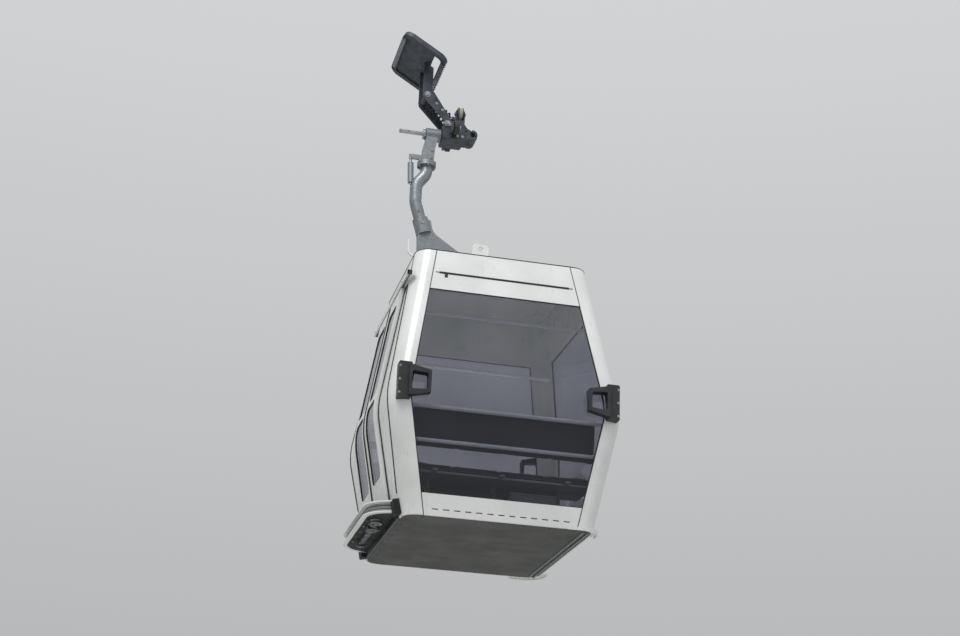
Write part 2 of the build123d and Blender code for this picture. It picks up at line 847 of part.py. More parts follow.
def make_roof_frame():
    """Steel cradle on the roof: two base rails, shaped to the hood, with an eye bracket at each end."""
    top = shaft_z
    base = roof_rise - rope_to_eave
    eye = shaft_radius + bush + bracket_eye
    ends = (shaft_places[0] - bracket_foot, shaft_places[1] + bracket_foot)
    frame = [block((x - 35, x + 35), (-bush_y, bush_y), (base, base + 26)) for x in shaft_places]
    for s in (-1, 1):
        y = (s * bush_y - base_width / 2, s * bush_y + base_width / 2)
        frame.append(block(ends, y, (-rope_to_eave, base + base_height)))
        cheek_y = (s * bush_y - bracket, s * bush_y + bracket)
        for x in shaft_places:
            foot = base + base_height - 2
            outline = [(x - bracket_foot, foot), (x - eye, top), (x + eye, top), (x + bracket_foot, foot)]
            frame += [plate_xz(outline, *cheek_y), bar_y(eye, *cheek_y, x, top)]
    solid = frame[0].fuse(*frame[1:]) - cabin_place * roof_block(cabin_height, 0, roof_rise)
    for x in shaft_places:
        solid -= bar_y(shaft_radius + bush, -reach, reach, x, top)
    save("roof_frame", solid)


make_floor()
make_posts()
make_end("front", -1)
make_end("rear", 1)
make_right_side()
make_left_side()
make_leaf("front", -1)
make_leaf("rear", 1)
make_door_track()
make_door_guide()
make_door_drive()
make_handles()
make_corner_lips()
make_roof()
make_lugs()
make_contact_rod()
make_benches()
make_grab_rails()
make_equipment_box()
make_grip_body()
make_friction_plate()
make_fixed_jaw()
make_lever()
make_wheels()
make_springs()
make_hanger_pin()
make_hanger_head()
make_hanger_arm()
make_hanger_yoke()
make_bushes()
make_roof_frame()
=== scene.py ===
# Cable car cabin with its hanger and rope grip: looks, light and camera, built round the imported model
import json
import math

import bmesh
import bpy
from mathutils import Matrix, Vector
from mathutils.bvhtree import BVHTree

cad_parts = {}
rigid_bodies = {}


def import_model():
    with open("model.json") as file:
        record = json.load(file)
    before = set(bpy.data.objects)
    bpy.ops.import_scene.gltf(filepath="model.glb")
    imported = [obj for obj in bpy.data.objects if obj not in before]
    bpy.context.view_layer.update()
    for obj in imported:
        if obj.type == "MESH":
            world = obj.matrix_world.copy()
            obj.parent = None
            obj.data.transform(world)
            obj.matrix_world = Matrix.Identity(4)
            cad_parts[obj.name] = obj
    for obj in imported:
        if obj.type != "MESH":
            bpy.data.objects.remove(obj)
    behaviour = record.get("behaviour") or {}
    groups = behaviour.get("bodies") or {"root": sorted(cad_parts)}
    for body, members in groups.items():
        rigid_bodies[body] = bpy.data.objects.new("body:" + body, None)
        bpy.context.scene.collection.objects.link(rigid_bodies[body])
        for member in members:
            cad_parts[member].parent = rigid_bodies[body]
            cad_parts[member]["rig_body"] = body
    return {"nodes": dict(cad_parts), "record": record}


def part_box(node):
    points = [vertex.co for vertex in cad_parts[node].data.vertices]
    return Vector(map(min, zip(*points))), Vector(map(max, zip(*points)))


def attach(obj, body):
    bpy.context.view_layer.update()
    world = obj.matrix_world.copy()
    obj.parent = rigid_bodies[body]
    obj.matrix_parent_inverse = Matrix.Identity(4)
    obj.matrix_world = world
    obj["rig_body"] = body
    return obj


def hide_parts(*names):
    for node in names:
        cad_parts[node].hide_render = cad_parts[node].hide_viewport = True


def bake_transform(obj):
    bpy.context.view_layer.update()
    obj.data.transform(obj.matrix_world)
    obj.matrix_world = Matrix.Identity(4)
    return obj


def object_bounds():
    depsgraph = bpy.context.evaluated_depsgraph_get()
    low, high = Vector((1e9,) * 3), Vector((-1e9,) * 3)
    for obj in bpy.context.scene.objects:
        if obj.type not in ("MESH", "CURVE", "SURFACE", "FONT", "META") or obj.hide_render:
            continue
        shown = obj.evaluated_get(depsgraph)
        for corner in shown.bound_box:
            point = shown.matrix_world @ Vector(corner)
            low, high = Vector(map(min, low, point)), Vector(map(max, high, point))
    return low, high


for item in list(bpy.data.objects):  # the start-up file's cube, lamp and camera
    bpy.data.objects.remove(item)
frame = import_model()
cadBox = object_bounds()
nodeObjects = frame["nodes"]
slotOf = {part["node"]: part["material_slot"] for part in frame["record"]["subparts"]}

floorPanLow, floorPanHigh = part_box("floor_pan")
roofLow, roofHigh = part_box("roof_shell")
cabinX = (floorPanLow.x + floorPanHigh.x) / 2  # the cabin's middle, to one side of the rope
floorZ = floorPanLow.z
eaveZ = roofLow.z

# the visitor looks up at the cabin from the ground, in metres from the rope's axis
view = {
    "place": (-3.02, -14.01, -7.463),
    "aim": (0.16, 0.0, -1.79),
    "lens": 64.0,  # mm on a 36 mm wide sensor
    "farthest": 200,
    "lean": 2.2,  # degrees that the cabin leans to the right in the picture
}
sky = {"colour": "#EEF0F2", "low": 0.46, "high": 1.0}  # strength at the horizon and overhead
ground = {"level": -7.65, "reach": 60, "colour": "#C2C3C1", "roughness": 0.9}
# place, diameter, watts, colour, and a turn of its own where a lamp isn't aimed at the cabin
lamps = {
    "softbox": ((-5.0, -8.0, 9.0), 7.0, 1150, "#FFFFFF"),
    "fill": ((9.0, -7.0, 1.0), 8.0, 120, "#F3F6FF"),
    "back": ((3.0, 9.0, 7.0), 6.0, 450, "#FFFFFF"),
    "cabinGlow": ((cabinX, 0.0, floorZ + 0.75), 0.9, 5.5, "#FFFFFF", (math.pi, 0, 0)),
}


def linearColour(hexCode):
    parts = [int(hexCode[i : i + 2], 16) / 255 for i in (1, 3, 5)]
    return (*(c / 12.92 if c <= 0.04045 else ((c + 0.055) / 1.055) ** 2.4 for c in parts), 1.0)


# a node stands for its first output
def firstOutput(source):
    return getattr(source, "outputs", [source])[0]


def addNode(tree, kind, values=None, links=None, **settings):
    node = tree.nodes.new(kind)
    for key, value in settings.items():
        setattr(node, key, value)
    for socket, value in (values or {}).items():
        node.inputs[socket].default_value = value
    for socket, source in (links or {}).items():
        tree.links.new(firstOutput(source), node.inputs[socket])
    return node


def linkObject(name, data):
    item = bpy.data.objects.new(name, data)
    bpy.context.scene.collection.objects.link(item)
    return item


# a bmesh as a mesh of its own
def meshOf(shape, name):
    mesh = bpy.data.meshes.new(name)
    shape.to_mesh(mesh)
    shape.free()
    return mesh


def makeCamera():
    lens = bpy.data.cameras.new("visitorCamera")
    lens.lens = view["lens"]
    lens.clip_end = view["farthest"]
    camera = linkObject("visitorCamera", lens)
    camera.location = view["place"]
    sight = Vector(view["aim"]) - Vector(view["place"])
    turn = sight.to_track_quat("-Z", "Y").to_matrix() @ Matrix.Rotation(math.radians(view["lean"]), 3, "Z")
    camera.rotation_euler = turn.to_euler()
    bpy.context.scene.camera = camera
    return camera


def makeLamp(name, place, size, power, colour, turn=None):
    lamp = bpy.data.lights.new(name, "AREA")
    lamp.shape, lamp.size, lamp.energy = "DISK", size, power
    lamp.color = linearColour(colour)[:3]
    item = linkObject(name, lamp)
    item.location = place
    if turn:  # inside the cabin, facing the ceiling and never seen itself
        item.visible_camera = item.visible_glossy = False
    item.rotation_euler = turn or (Vector(view["aim"]) - item.location).to_track_quat("-Z", "Y").to_euler()


# each finish starts here: a Principled shader, and Object coordinates for its patterns
def newFinish(name, **values):
    material = bpy.data.materials.new(name)
    material.use_nodes = True
    tree = material.node_tree
    shader = tree.nodes["Principled BSDF"]
    for socket, value in values.items():
        shader.inputs[socket].default_value = value
    place = addNode(tree, "ShaderNodeTexCoord").outputs["Object"]
    return material, tree, shader, place


def makeStage():
    world = bpy.data.worlds.new("overcastSky")
    world.use_nodes = True
    tree = world.node_tree
    background = tree.nodes["Background"]
    background.inputs["Color"].default_value = linearColour(sky["colour"])
    heading = addNode(tree, "ShaderNodeTexCoord").outputs["Generated"]
    height = addNode(tree, "ShaderNodeSeparateXYZ", None, {0: heading}).outputs["Z"]
    span = {"From Min": 0.0, "From Max": 1.0, "To Min": sky["low"], "To Max": sky["high"]}
    rise = addNode(tree, "ShaderNodeMapRange", span, {"Value": height})
    tree.links.new(rise.outputs[0], background.inputs["Strength"])
    bpy.context.scene.world = world
    bpy.context.scene.view_settings.view_transform = "Standard"
    shape = bmesh.new()
    bmesh.ops.create_grid(shape, x_segments=1, y_segments=1, size=ground["reach"])
    mesh = meshOf(shape, "ground")
    mesh.transform(Matrix.Translation((0, 0, ground["level"])))
    paving = {"Base Color": linearColour(ground["colour"]), "Roughness": ground["roughness"]}
    mesh.materials.append(newFinish("palePaving", **paving)[0])
    linkObject("ground", mesh)


camera = makeCamera()
makeStage()
for name, values in lamps.items():
    makeLamp(name, *values)
print("camera: %.1f m from the cabin" % (camera.location - Vector(view["aim"])).length)


# patches of a second colour over the first; size is one patch in metres, pulled along an axis by stretch
def mottle(tree, place, first, second, size, limits=(0.4, 0.65), stretch=(1, 1, 1)):
    scales = {"Scale": [1 / size / s for s in stretch]}
    scaled = addNode(tree, "ShaderNodeMapping", scales, {"Vector": place}).outputs[0]
    cloud = addNode(tree, "ShaderNodeTexNoise", {"Scale": 1.0, "Detail": 4.0}, {"Vector": scaled})
    limit = {"From Min": limits[0], "From Max": limits[1]}
    amount = addNode(tree, "ShaderNodeMapRange", limit, {"Value": cloud.outputs["Fac"]})
    over = {7: linearColour(second)}
    mix = addNode(tree, "ShaderNodeMix", over, {0: amount}, data_type="RGBA")
    if isinstance(first, str):
        mix.inputs[6].default_value = linearColour(first)
    else:
        tree.links.new(first, mix.inputs[6])
    return mix.outputs[2]


# shine that differs from place to place, as on a surface that has been outdoors
def unevenShine(tree, place, shader, size, low, high):
    cloud = addNode(tree, "ShaderNodeTexNoise", {"Scale": 1 / size, "Detail": 3.0}, {"Vector": place})
    span = {"From Min": 0.35, "From Max": 0.65, "To Min": low, "To Max": high}
    amount = addNode(tree, "ShaderNodeMapRange", span, {"Value": cloud.outputs["Fac"]})
    tree.links.new(amount.outputs[0], shader.inputs["Roughness"])


# relief of a pattern with a depth in metres
def relief(tree, shader, pattern, depth, strength):
    bump = addNode(tree, "ShaderNodeBump", {"Strength": strength, "Distance": depth}, {"Height": pattern})
    tree.links.new(bump.outputs[0], shader.inputs["Normal"])


# fine grain; size is one grain and depth its height, both in metres
def grain(tree, place, shader, size, depth, detail=2.0, strength=1.0):
    cloud = addNode(tree, "ShaderNodeTexNoise", {"Scale": 1 / size, "Detail": detail}, {"Vector": place})
    relief(tree, shader, cloud.outputs["Fac"], depth, strength)


# most finishes: layers of other colours over the first, uneven shine and a fine grain
def layeredFinish(name, colour, layers, shine, grains, **values):
    material, tree, shader, place = newFinish(name, **values)
    for layer in layers:
        colour = mottle(tree, place, colour, *layer)
    tree.links.new(colour, shader.inputs["Base Color"])
    unevenShine(tree, place, shader, *shine)
    grain(tree, place, shader, *grains)
    return material


# clean gloss with road film, rain streaks that run down, and orange peel of about 4 mm
def glossEnamel():
    layers = [("#D3D5D1", 0.55, (0.42, 0.7)), ("#CBCCC6", 0.035, (0.62, 0.8), (1, 1, 14))]
    coat = {"Roughness": 0.3, "Coat Weight": 0.35, "Coat Roughness": 0.12}
    shine, peel = (0.25, 0.24, 0.38), (0.004, 0.00025, 2.0, 0.35)
    return layeredFinish("glossPolyurethaneEnamel", "#E3E5E2", layers, shine, peel, **coat)


# thick grey stone-chip coat, sprayed under the floor: dull and stippled, dustier in patches
def floorCoating():
    dust = [("#5B5B55", 0.35, (0.45, 0.75))]
    shine, stipple = (0.2, 0.7, 0.9), (0.005, 0.0009, 4.0)
    return layeredFinish("sprayedStoneChipCoat", "#4E4F4B", dust, shine, stipple, Roughness=0.8)


# satin paint on castings and plate, with greasy and dusty patches and cast grain
def gripPaint():
    layers = [("#23272C", 0.07, (0.45, 0.7)), ("#5A6068", 0.03, (0.62, 0.85))]
    shine, cast = (0.05, 0.34, 0.6), (0.003, 0.0005, 3.0, 0.6)
    return layeredFinish("slateEpoxyPaint", "#3B424B", layers, shine, cast, Roughness=0.45)


# moulded, rubbery and coated surfaces: even colour, satin to dull
def mouldedFinish(name, colour, worn, roughness, size, depth):
    layers, shine = [(worn, 0.12, (0.5, 0.8))], (0.08, roughness - 0.07, roughness + 0.08)
    return layeredFinish(name, colour, layers, shine, (size, depth, 2.0, 0.6), Roughness=roughness)


# smoked cast acrylic: clear with a faint violet smoke, and a wet shine wiped into uneven patches
def smokedAcrylic():
    material, tree, shader, place = newFinish("smokedCastAcrylic")
    tree.nodes.remove(shader)
    smoke = mottle(tree, place, "#DBDBE0", "#D5D6DA", 0.7)
    clear = addNode(tree, "ShaderNodeBsdfTransparent", None, {"Color": smoke})
    shine = addNode(tree, "ShaderNodeBsdfGlossy", {"Color": linearColour("#F4F6FA")})
    unevenShine(tree, place, shine, 1 / 6, 0.015, 0.07)
    # 4% of light head on and all of it at a graze, the same on both faces of the sheet
    slope = addNode(tree, "ShaderNodeLayerWeight", {"Blend": 0.5}).outputs["Facing"]
    graze = addNode(tree, "ShaderNodeMath", {1: 5.0}, {0: slope}, operation="POWER")
    share = {1: 0.96, 2: 0.04}
    facing = addNode(tree, "ShaderNodeMath", share, {0: graze}, operation="MULTIPLY_ADD")
    shaders = {0: facing, 1: clear, 2: shine}
    mix = addNode(tree, "ShaderNodeMixShader", None, shaders)
    tree.links.new(mix.outputs[0], tree.nodes["Material Output"].inputs["Surface"])
    return material


# hot-dip galvanised steel: crystals of zinc, some bright and some dull, gone matt and pale in patches
def galvanisedSteel():
    material, tree, shader, place = newFinish("hotDipGalvanisedSteel", Metallic=0.75, Roughness=0.5)
    crystal = addNode(tree, "ShaderNodeTexVoronoi", {"Scale": 1 / 0.011}, {"Vector": place})
    parts = addNode(tree, "ShaderNodeSeparateColor", None, {"Color": crystal.outputs["Color"]})
    zinc = {6: linearColour("#7C8287"), 7: linearColour("#959A9E")}
    mix = addNode(tree, "ShaderNodeMix", zinc, {0: parts}, data_type="RGBA")
    matt = mottle(tree, place, mix.outputs[2], "#8E9294", 0.18, limits=(0.45, 0.75))
    tree.links.new(matt, shader.inputs["Base Color"])
    span = {"To Min": 0.38, "To Max": 0.6}
    shine = addNode(tree, "ShaderNodeMapRange", span, {"Value": parts.outputs[1]})
    tree.links.new(shine.outputs[0], shader.inputs["Roughness"])
    grain(tree, place, shader, 0.03, 0.0006, detail=5.0, strength=0.5)
    return material


# machined steel: bright, with fine turning marks and a thin oil film
def machinedSteel():
    material, tree, shader, place = newFinish("machinedSteel", Metallic=1.0, Roughness=0.28)
    tree.links.new(mottle(tree, place, "#B9BBBD", "#94979A", 0.04), shader.inputs["Base Color"])
    unevenShine(tree, place, shader, 0.03, 0.2, 0.38)
    pitch = {"Scale": 1 / 0.006}
    marks = addNode(tree, "ShaderNodeTexWave", pitch, {"Vector": place}, bands_direction="X")
    relief(tree, shader, marks.outputs["Fac"], 0.0002, 0.2)
    return material


# woven seat cloth: two sets of threads that cross, drawn 4 mm apart so that they show, with a soft sheen
def seatCloth():
    sheen = {"Sheen Weight": 0.4, "Sheen Roughness": 0.5}
    material, tree, shader, place = newFinish("wovenSeatCloth", Roughness=0.85, **sheen)
    pair, thread = {}, {"Scale": 1 / 0.004 / 6.28, "Distortion": 0.6}
    for i, way in enumerate(("X", "DIAGONAL")):
        wave = addNode(tree, "ShaderNodeTexWave", thread, {"Vector": place}, bands_direction=way)
        pair[i] = wave.outputs["Fac"]
    weave = addNode(tree, "ShaderNodeMath", None, pair, operation="MULTIPLY")
    yarn = {6: linearColour("#2A2D33"), 7: linearColour("#4B505A")}
    mix = addNode(tree, "ShaderNodeMix", yarn, {0: weave}, data_type="RGBA")
    tree.links.new(mottle(tree, place, mix.outputs[2], "#34373E", 0.15), shader.inputs["Base Color"])
    relief(tree, shader, weave.outputs[0], 0.0008, 0.6)
    return material


# colour, worn colour and roughness of each, then its grain's size and depth in metres
mouldedTable = {
    "mouldedPolyamide": ("#26272A", "#333438", 0.46, 0.002, 0.0003),
    "mouldedEpdmRubber": ("#0F1011", "#1E1E1F", 0.7, 0.0015, 0.0003),
    "greyPowderCoat": ("#8B8F90", "#7C8081", 0.55, 0.0015, 0.0004),
    "blackSpringCoat": ("#141518", "#2C2E33", 0.36, 0.002, 0.0002),
    "ribbedStepRubber": ("#1A1B1D", "#2B2B2A", 0.75, 0.003, 0.0006),
    "castPolyurethaneTread": ("#2B2622", "#3A342E", 0.5, 0.002, 0.0003),
    "castPolyurethanePale": ("#9C9A90", "#7E7C74", 0.5, 0.002, 0.0003),
    "paleTubeCoat": ("#EFF1F1", "#E2E4E4", 0.3, 0.0006, 0.0001),
    "vinylFacedFoam": ("#D6D7D4", "#C8C9C6", 0.75, 0.004, 0.0005),
    "opalAcrylic": ("#E8E9E6", "#DDDEDA", 0.3, 0.003, 0.0001),
}
moulded = {name: mouldedFinish(name, *row) for name, row in mouldedTable.items()}
finishOf = {
    "white_paint": glossEnamel(),
    "dark_floor": floorCoating(),
    "tinted_glass": smokedAcrylic(),
    "black_plastic": moulded["mouldedPolyamide"],
    "galvanised": galvanisedSteel(),
    "dark_steel": gripPaint(),
    "bare_steel": machinedSteel(),
    "rubber": moulded["mouldedEpdmRubber"],
    "seat_fabric": seatCloth(),
    "grey_plastic": moulded["greyPowderCoat"],
    "spring_steel": moulded["blackSpringCoat"],
    "step_black": moulded["ribbedStepRubber"],
}
for node, item in nodeObjects.items():
    item.data.materials.clear()
    item.data.materials.append(finishOf[slotOf[node]])
nodeObjects["grab_rails"].data.materials[0] = moulded["paleTubeCoat"]
print("finishes: %d" % len(finishOf))

# directions, and the two ends of the cabin with their side of Y
left, right, front, rear = (-1, 0, 0), (1, 0, 0), (0, -1, 0), (0, 1, 0)
down, up = (0, 0, -1), (0, 0, 1)
ends = (("front", -1), ("rear", 1))
farOff = 3  # casts start this far out, in metres


# the evaluated object as a plain mesh of its own, with the draft removed
def bakeObject(draft, name):
    graph = bpy.context.evaluated_depsgraph_get()
    graph.update()
    mesh = bpy.data.meshes.new_from_object(draft.evaluated_get(graph), depsgraph=graph)
    mesh.name = name
    bpy.data.objects.remove(draft)
    return linkObject(name, mesh)


def finishPiece(piece, body, material=None, node=None):
    if material is not None:
        piece.data.materials.clear()
        piece.data.materials.append(material)
    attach(piece, body)
    if node:
        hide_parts(node)
    return piece


# a CAD node's mesh with its corners joined
def weldedShape(node):
    shape = bmesh.new()
    shape.from_mesh(nodeObjects[node].data)
    bmesh.ops.remove_doubles(shape, verts=shape.verts, dist=2e-5)
    return shape


# a copy of a CAD node with its edges rounded as the real sheet, casting or moulding has them
def roundEdges(node, width, segments, angle):
    shape = weldedShape(node)
    flat = math.radians(0.6)
    bmesh.ops.dissolve_limit(shape, angle_limit=flat, verts=shape.verts, edges=shape.edges)
    mesh = meshOf(shape, node + "Draft")
    if "custom_normal" in mesh.attributes:
        mesh.attributes.remove(mesh.attributes["custom_normal"])
    mesh.shade_smooth()
    draft = linkObject(node + "Draft", mesh)
    bevel = draft.modifiers.new("edge", "BEVEL")
    bevel.width, bevel.segments = width, segments
    bevel.limit_method = "ANGLE"
    bevel.angle_limit = math.radians(angle)
    bevel.miter_outer = "MITER_ARC"
    draft.modifiers.new("shading", "WEIGHTED_NORMAL").keep_sharp = True
    piece = bakeObject(draft, node.title().replace("_", "") + "Rounded")
    return finishPiece(piece, nodeObjects[node]["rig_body"], finishOf[slotOf[node]], node)


# edge radius in metres, segments, the smallest angle in degrees that counts as an edge, and the nodes
edgeTable = [
    (0.004, 3, 40, "post_front_left post_front_right post_rear_left post_rear_right"),
    (0.0035, 3, 40, "sill_front sill_rear side_frame_right side_panel_left"),
    (0.006, 3, 35, "roof_shell corner_handles hanger_head equipment_box"),
    (0.005, 3, 35, "door_leaf_front door_leaf_rear hanger_yoke fixed_jaw"),
    (0.003, 2, 35, "door_track door_guide corner_lips roof_lugs roof_frame hanger_arm door_drive"),
    (0.0025, 2, 35, "grip_body jaw_lever friction_plate bench_frame_front bench_frame_rear"),
    (0.002, 2, 35, "hanger_pin suspension_bushes coupling_roller running_wheel_front running_wheel_rear"),
    (0.008, 2, 35, "floor_pan"),
]
for width, segments, angle, nodes in edgeTable:
    for node in nodes.split():
        roundEdges(node, width, segments, angle)
print("rounded edges: %d pieces" % sum(len(row[3].split()) for row in edgeTable))


def partOf(name):
    return nodeObjects[name] if name in nodeObjects else bpy.data.objects[name]


# the surfaces of CAD nodes or of pieces, to find where a straight line meets them
def surfaceOf(*names):
    vertices, faces = [], []
    for name in names:
        mesh = partOf(name).data
        start = len(vertices)
        vertices += [v.co.copy() for v in mesh.vertices]
        faces += [[start + i for i in p.vertices] for p in mesh.polygons]
    return BVHTree.FromPolygons(vertices, faces)


# where a line meets a surface, with the face's normal turned against the line
def meet(surface, start, toward):
    toward = Vector(toward).normalized()
    point, normal, _, _ = surface.ray_cast(Vector(start), toward)
    return None if point is None else (point, normal if normal.dot(toward) < 0 else -normal)


# points and normals on a face under the starts
def castLine(surface, starts, toward):
    found = [hit for hit in (meet(surface, start, toward) for start in starts) if hit]
    return [point for point, _ in found], [normal for _, normal in found]


# corners of a node's outer face, looked at from one side
def faceCorners(node, outward):
    mesh = nodeObjects[node].data
    found = {}
    for polygon in mesh.polygons:
        if polygon.normal.dot(Vector(outward)) > 0.6:
            for i in polygon.vertices:
                point = mesh.vertices[i].co
                found[tuple(round(c, 4) for c in point)] = point.copy()
    return list(found.values())


def borderLoop(node, outward):
    points = faceCorners(node, outward)
    middle = sum(points, Vector()) / len(points)
    upward = Vector(up)
    side = upward.cross(Vector(outward))
    return sorted(points, key=lambda p: math.atan2((p - middle).dot(upward), (p - middle).dot(side)))


def edgeLine(node, outward, keep):
    return sorted((p for p in faceCorners(node, outward) if keep(p)), key=lambda p: p.z)


# half the depth at which the side panels end, at a height: read from the panel's own corners
def edgeY(z):
    points = edgeLine("side_panel_left", left, lambda p: p.y > 0.5)
    for lower, upper in zip(points, points[1:]):
        if lower.z <= z <= upper.z:
            return lower.y + (upper.y - lower.y) * (z - lower.z) / (upper.z - lower.z)
    return points[0].y if z < points[0].z else points[-1].y


def spread(low, high, count):
    return [low + (high - low) * i / (count - 1) for i in range(count)]


# named inputs and a Geometry output, as every tree here has
def newTree(name, **sockets):
    tree = bpy.data.node_groups.new(name, "GeometryNodeTree")
    face = tree.interface
    face.new_socket("Geometry", in_out="INPUT", socket_type="NodeSocketGeometry")
    for label, kind in (*sockets.items(), ("Finish", "Material")):
        face.new_socket(label, in_out="INPUT", socket_type="NodeSocket" + kind)
    face.new_socket("Geometry", in_out="OUTPUT", socket_type="NodeSocketGeometry")
    return tree, addNode(tree, "NodeGroupInput").outputs


def endTree(tree, given, geometry):
    whole = addNode(tree, "GeometryNodeRealizeInstances", None, {"Geometry": geometry})
    dress = {"Geometry": whole, "Material": given["Finish"]}
    dressed = addNode(tree, "GeometryNodeSetMaterial", None, dress)
    addNode(tree, "NodeGroupOutput", None, {"Geometry": dressed})
    return tree


# the last part of a tree that turns lines into closed tubes
def endAsTube(tree, given, line, ring):
    sockets = {"Curve": line, "Profile Curve": ring.outputs["Curve"]}
    tube = addNode(tree, "GeometryNodeCurveToMesh", {"Fill Caps": True}, sockets)
    return endTree(tree, given, tube.outputs[0])


def runTree(draft, tree, values, name):
    modifier = draft.modifiers.new("tree", "NODES")
    modifier.node_group = tree
    for item in tree.interface.items_tree:
        if item.in_out == "INPUT" and item.name in values:
            modifier[item.identifier] = values[item.name]
    return bakeObject(draft, name)


def beadTree():
    tree, given = newTree("roundBead", Radius="Float", Sides="Int")
    sizes = {"Radius": given["Radius"], "Resolution": given["Sides"]}
    ring = addNode(tree, "GeometryNodeCurvePrimitiveCircle", None, sizes)
    return endAsTube(tree, given, given["Geometry"], ring)


# a head with a washer on each point, turned to the point's own facing and spun by a fixed seed
def fastenerTree():
    tree, given = newTree("fasteners", Radius="Float", Height="Float", Sides="Int", Seed="Int")
    radius, height = {0: given["Radius"]}, {0: given["Height"]}
    double = addNode(tree, "ShaderNodeMath", {1: 2.0}, height, operation="MULTIPLY")
    sizes = {"Vertices": given["Sides"], "Radius": given["Radius"], "Depth": double}
    head = addNode(tree, "GeometryNodeMeshCylinder", None, sizes)
    wide = addNode(tree, "ShaderNodeMath", {1: 1.45}, radius, operation="MULTIPLY")
    thin = addNode(tree, "ShaderNodeMath", {1: 0.5}, height, operation="MULTIPLY")
    sizes = {"Radius": wide, "Depth": thin}
    washer = addNode(tree, "GeometryNodeMeshCylinder", {"Vertices": 16}, sizes)
    both = addNode(tree, "GeometryNodeJoinGeometry")
    for part in (head, washer):
        tree.links.new(part.outputs["Mesh"], both.inputs[0])
    kind = {"data_type": "FLOAT_VECTOR"}
    facing = addNode(tree, "GeometryNodeInputNamedAttribute", {"Name": "facing"}, **kind).outputs[0]
    upright = addNode(tree, "FunctionNodeAlignRotationToVector", None, {"Vector": facing}, axis="Z")
    spin = addNode(tree, "FunctionNodeRandomValue", {"Max": (0, 0, 6.28)}, {"Seed": given["Seed"]}, **kind)
    turns = {"Rotation": upright, "Rotate By": spin}
    turned = addNode(tree, "FunctionNodeRotateRotation", None, turns, rotation_space="LOCAL")
    sockets = {"Points": given["Geometry"], "Instance": both, "Rotation": turned}
    placed = addNode(tree, "GeometryNodeInstanceOnPoints", None, sockets)
    return endTree(tree, given, placed.outputs[0])


bead = beadTree()
fastener = fastenerTree()


def lineObject(name, lines, closed):
    curve = bpy.data.curves.new(name, "CURVE")
    curve.dimensions = "3D"
    for points in lines:
        spline = curve.splines.new("POLY")
        spline.points.add(len(points) - 1)
        for target, point in zip(spline.points, points):
            target.co = (*point, 1)
        spline.use_cyclic_u = closed
    return linkObject(name + "Line", curve)


def makeBead(name, lines, radius, slotName, body="cabin", closed=False, sides=10):
    values = {"Radius": radius, "Sides": sides, "Finish": finishOf[slotName]}
    piece = runTree(lineObject(name, lines, closed), bead, values, name)
    piece.data.shade_smooth()
    piece.data.set_sharp_from_angle(angle=math.radians(50))
    return finishPiece(piece, body)


# radius and height of each head in metres; bare steel with six sides where nothing else is named
fastenerTable = {
    "handleScrews": (0.0075, 0.003, 12),
    "trackScrews": (0.006, 0.003, 10),
    "driveBolts": (0.007, 0.005),
    "stepBolts": (0.007, 0.004),
    "floorScrews": (0.008, 0.004, 6, "dark_floor"),
    "flangeBolts": (0.011, 0.012, 6, "galvanised"),
    "neckBolts": (0.012, 0.010),
    "armBolts": (0.010, 0.008),
    "damperBolts": (0.011, 0.008),
    "roofFrameBolts": (0.010, 0.008, 6, "galvanised"),
    "lugScrews": (0.006, 0.004),
    "shaftEndNuts": (0.026, 0.012, 6, "galvanised"),
    "cheekNuts": (0.021, 0.012),
    "cheekBolts": (0.010, 0.008),
    "wheelNuts": (0.015, 0.008),
    "forkNuts": (0.014, 0.007),
    "plateBolts": (0.011, 0.007),
    "boxScrews": (0.006, 0.003, 12),
    "stripBolts": (0.008, 0.005),
}


# bolts or screws where lines meet faces; each row holds nodes, a direction and starts
def makeFasteners(name, *rows):
    radius, height, *others = fastenerTable[name]
    sides, slotName = others + [6, "bare_steel"][len(others) :]
    spots = []
    for nodes, toward, starts in rows:
        surface = surfaceOf(*nodes.split())
        spots += [meet(surface, start, toward) for start in starts]
    if None in spots:
        print("no face for %d of the %s" % (spots.count(None), name))
        spots = [spot for spot in spots if spot]
    mesh = bpy.data.meshes.new(name + "Points")
    mesh.from_pydata([point for point, _ in spots], [], [])
    facing = mesh.attributes.new("facing", "FLOAT_VECTOR", "POINT")
    for item, (_, normal) in zip(facing.data, spots):
        item.vector = normal
    values = {"Radius": radius, "Height": height, "Sides": sides, "Seed": 3, "Finish": finishOf[slotName]}
    piece = runTree(linkObject(name + "Spots", mesh), fastener, values, name)
    return finishPiece(piece, partOf(nodes.split()[0])["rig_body"])


# two rows for makeFasteners, the same from both sides
def bothSides(node, spots):
    return [(node, (0, -side, 0), [(x, side * farOff, z) for x, z in spots]) for side in (-1, 1)]


# a hand-built shape as a piece, facing outward and smooth up to an angle in degrees
def shapePiece(shape, name, angle, slotName, body, material=None):
    bmesh.ops.recalc_face_normals(shape, faces=shape.faces)
    mesh = meshOf(shape, name)
    mesh.shade_smooth()
    mesh.set_sharp_from_angle(angle=math.radians(angle))
    mesh.materials.append(material or finishOf[slotName])
    return finishPiece(linkObject(name, mesh), body)


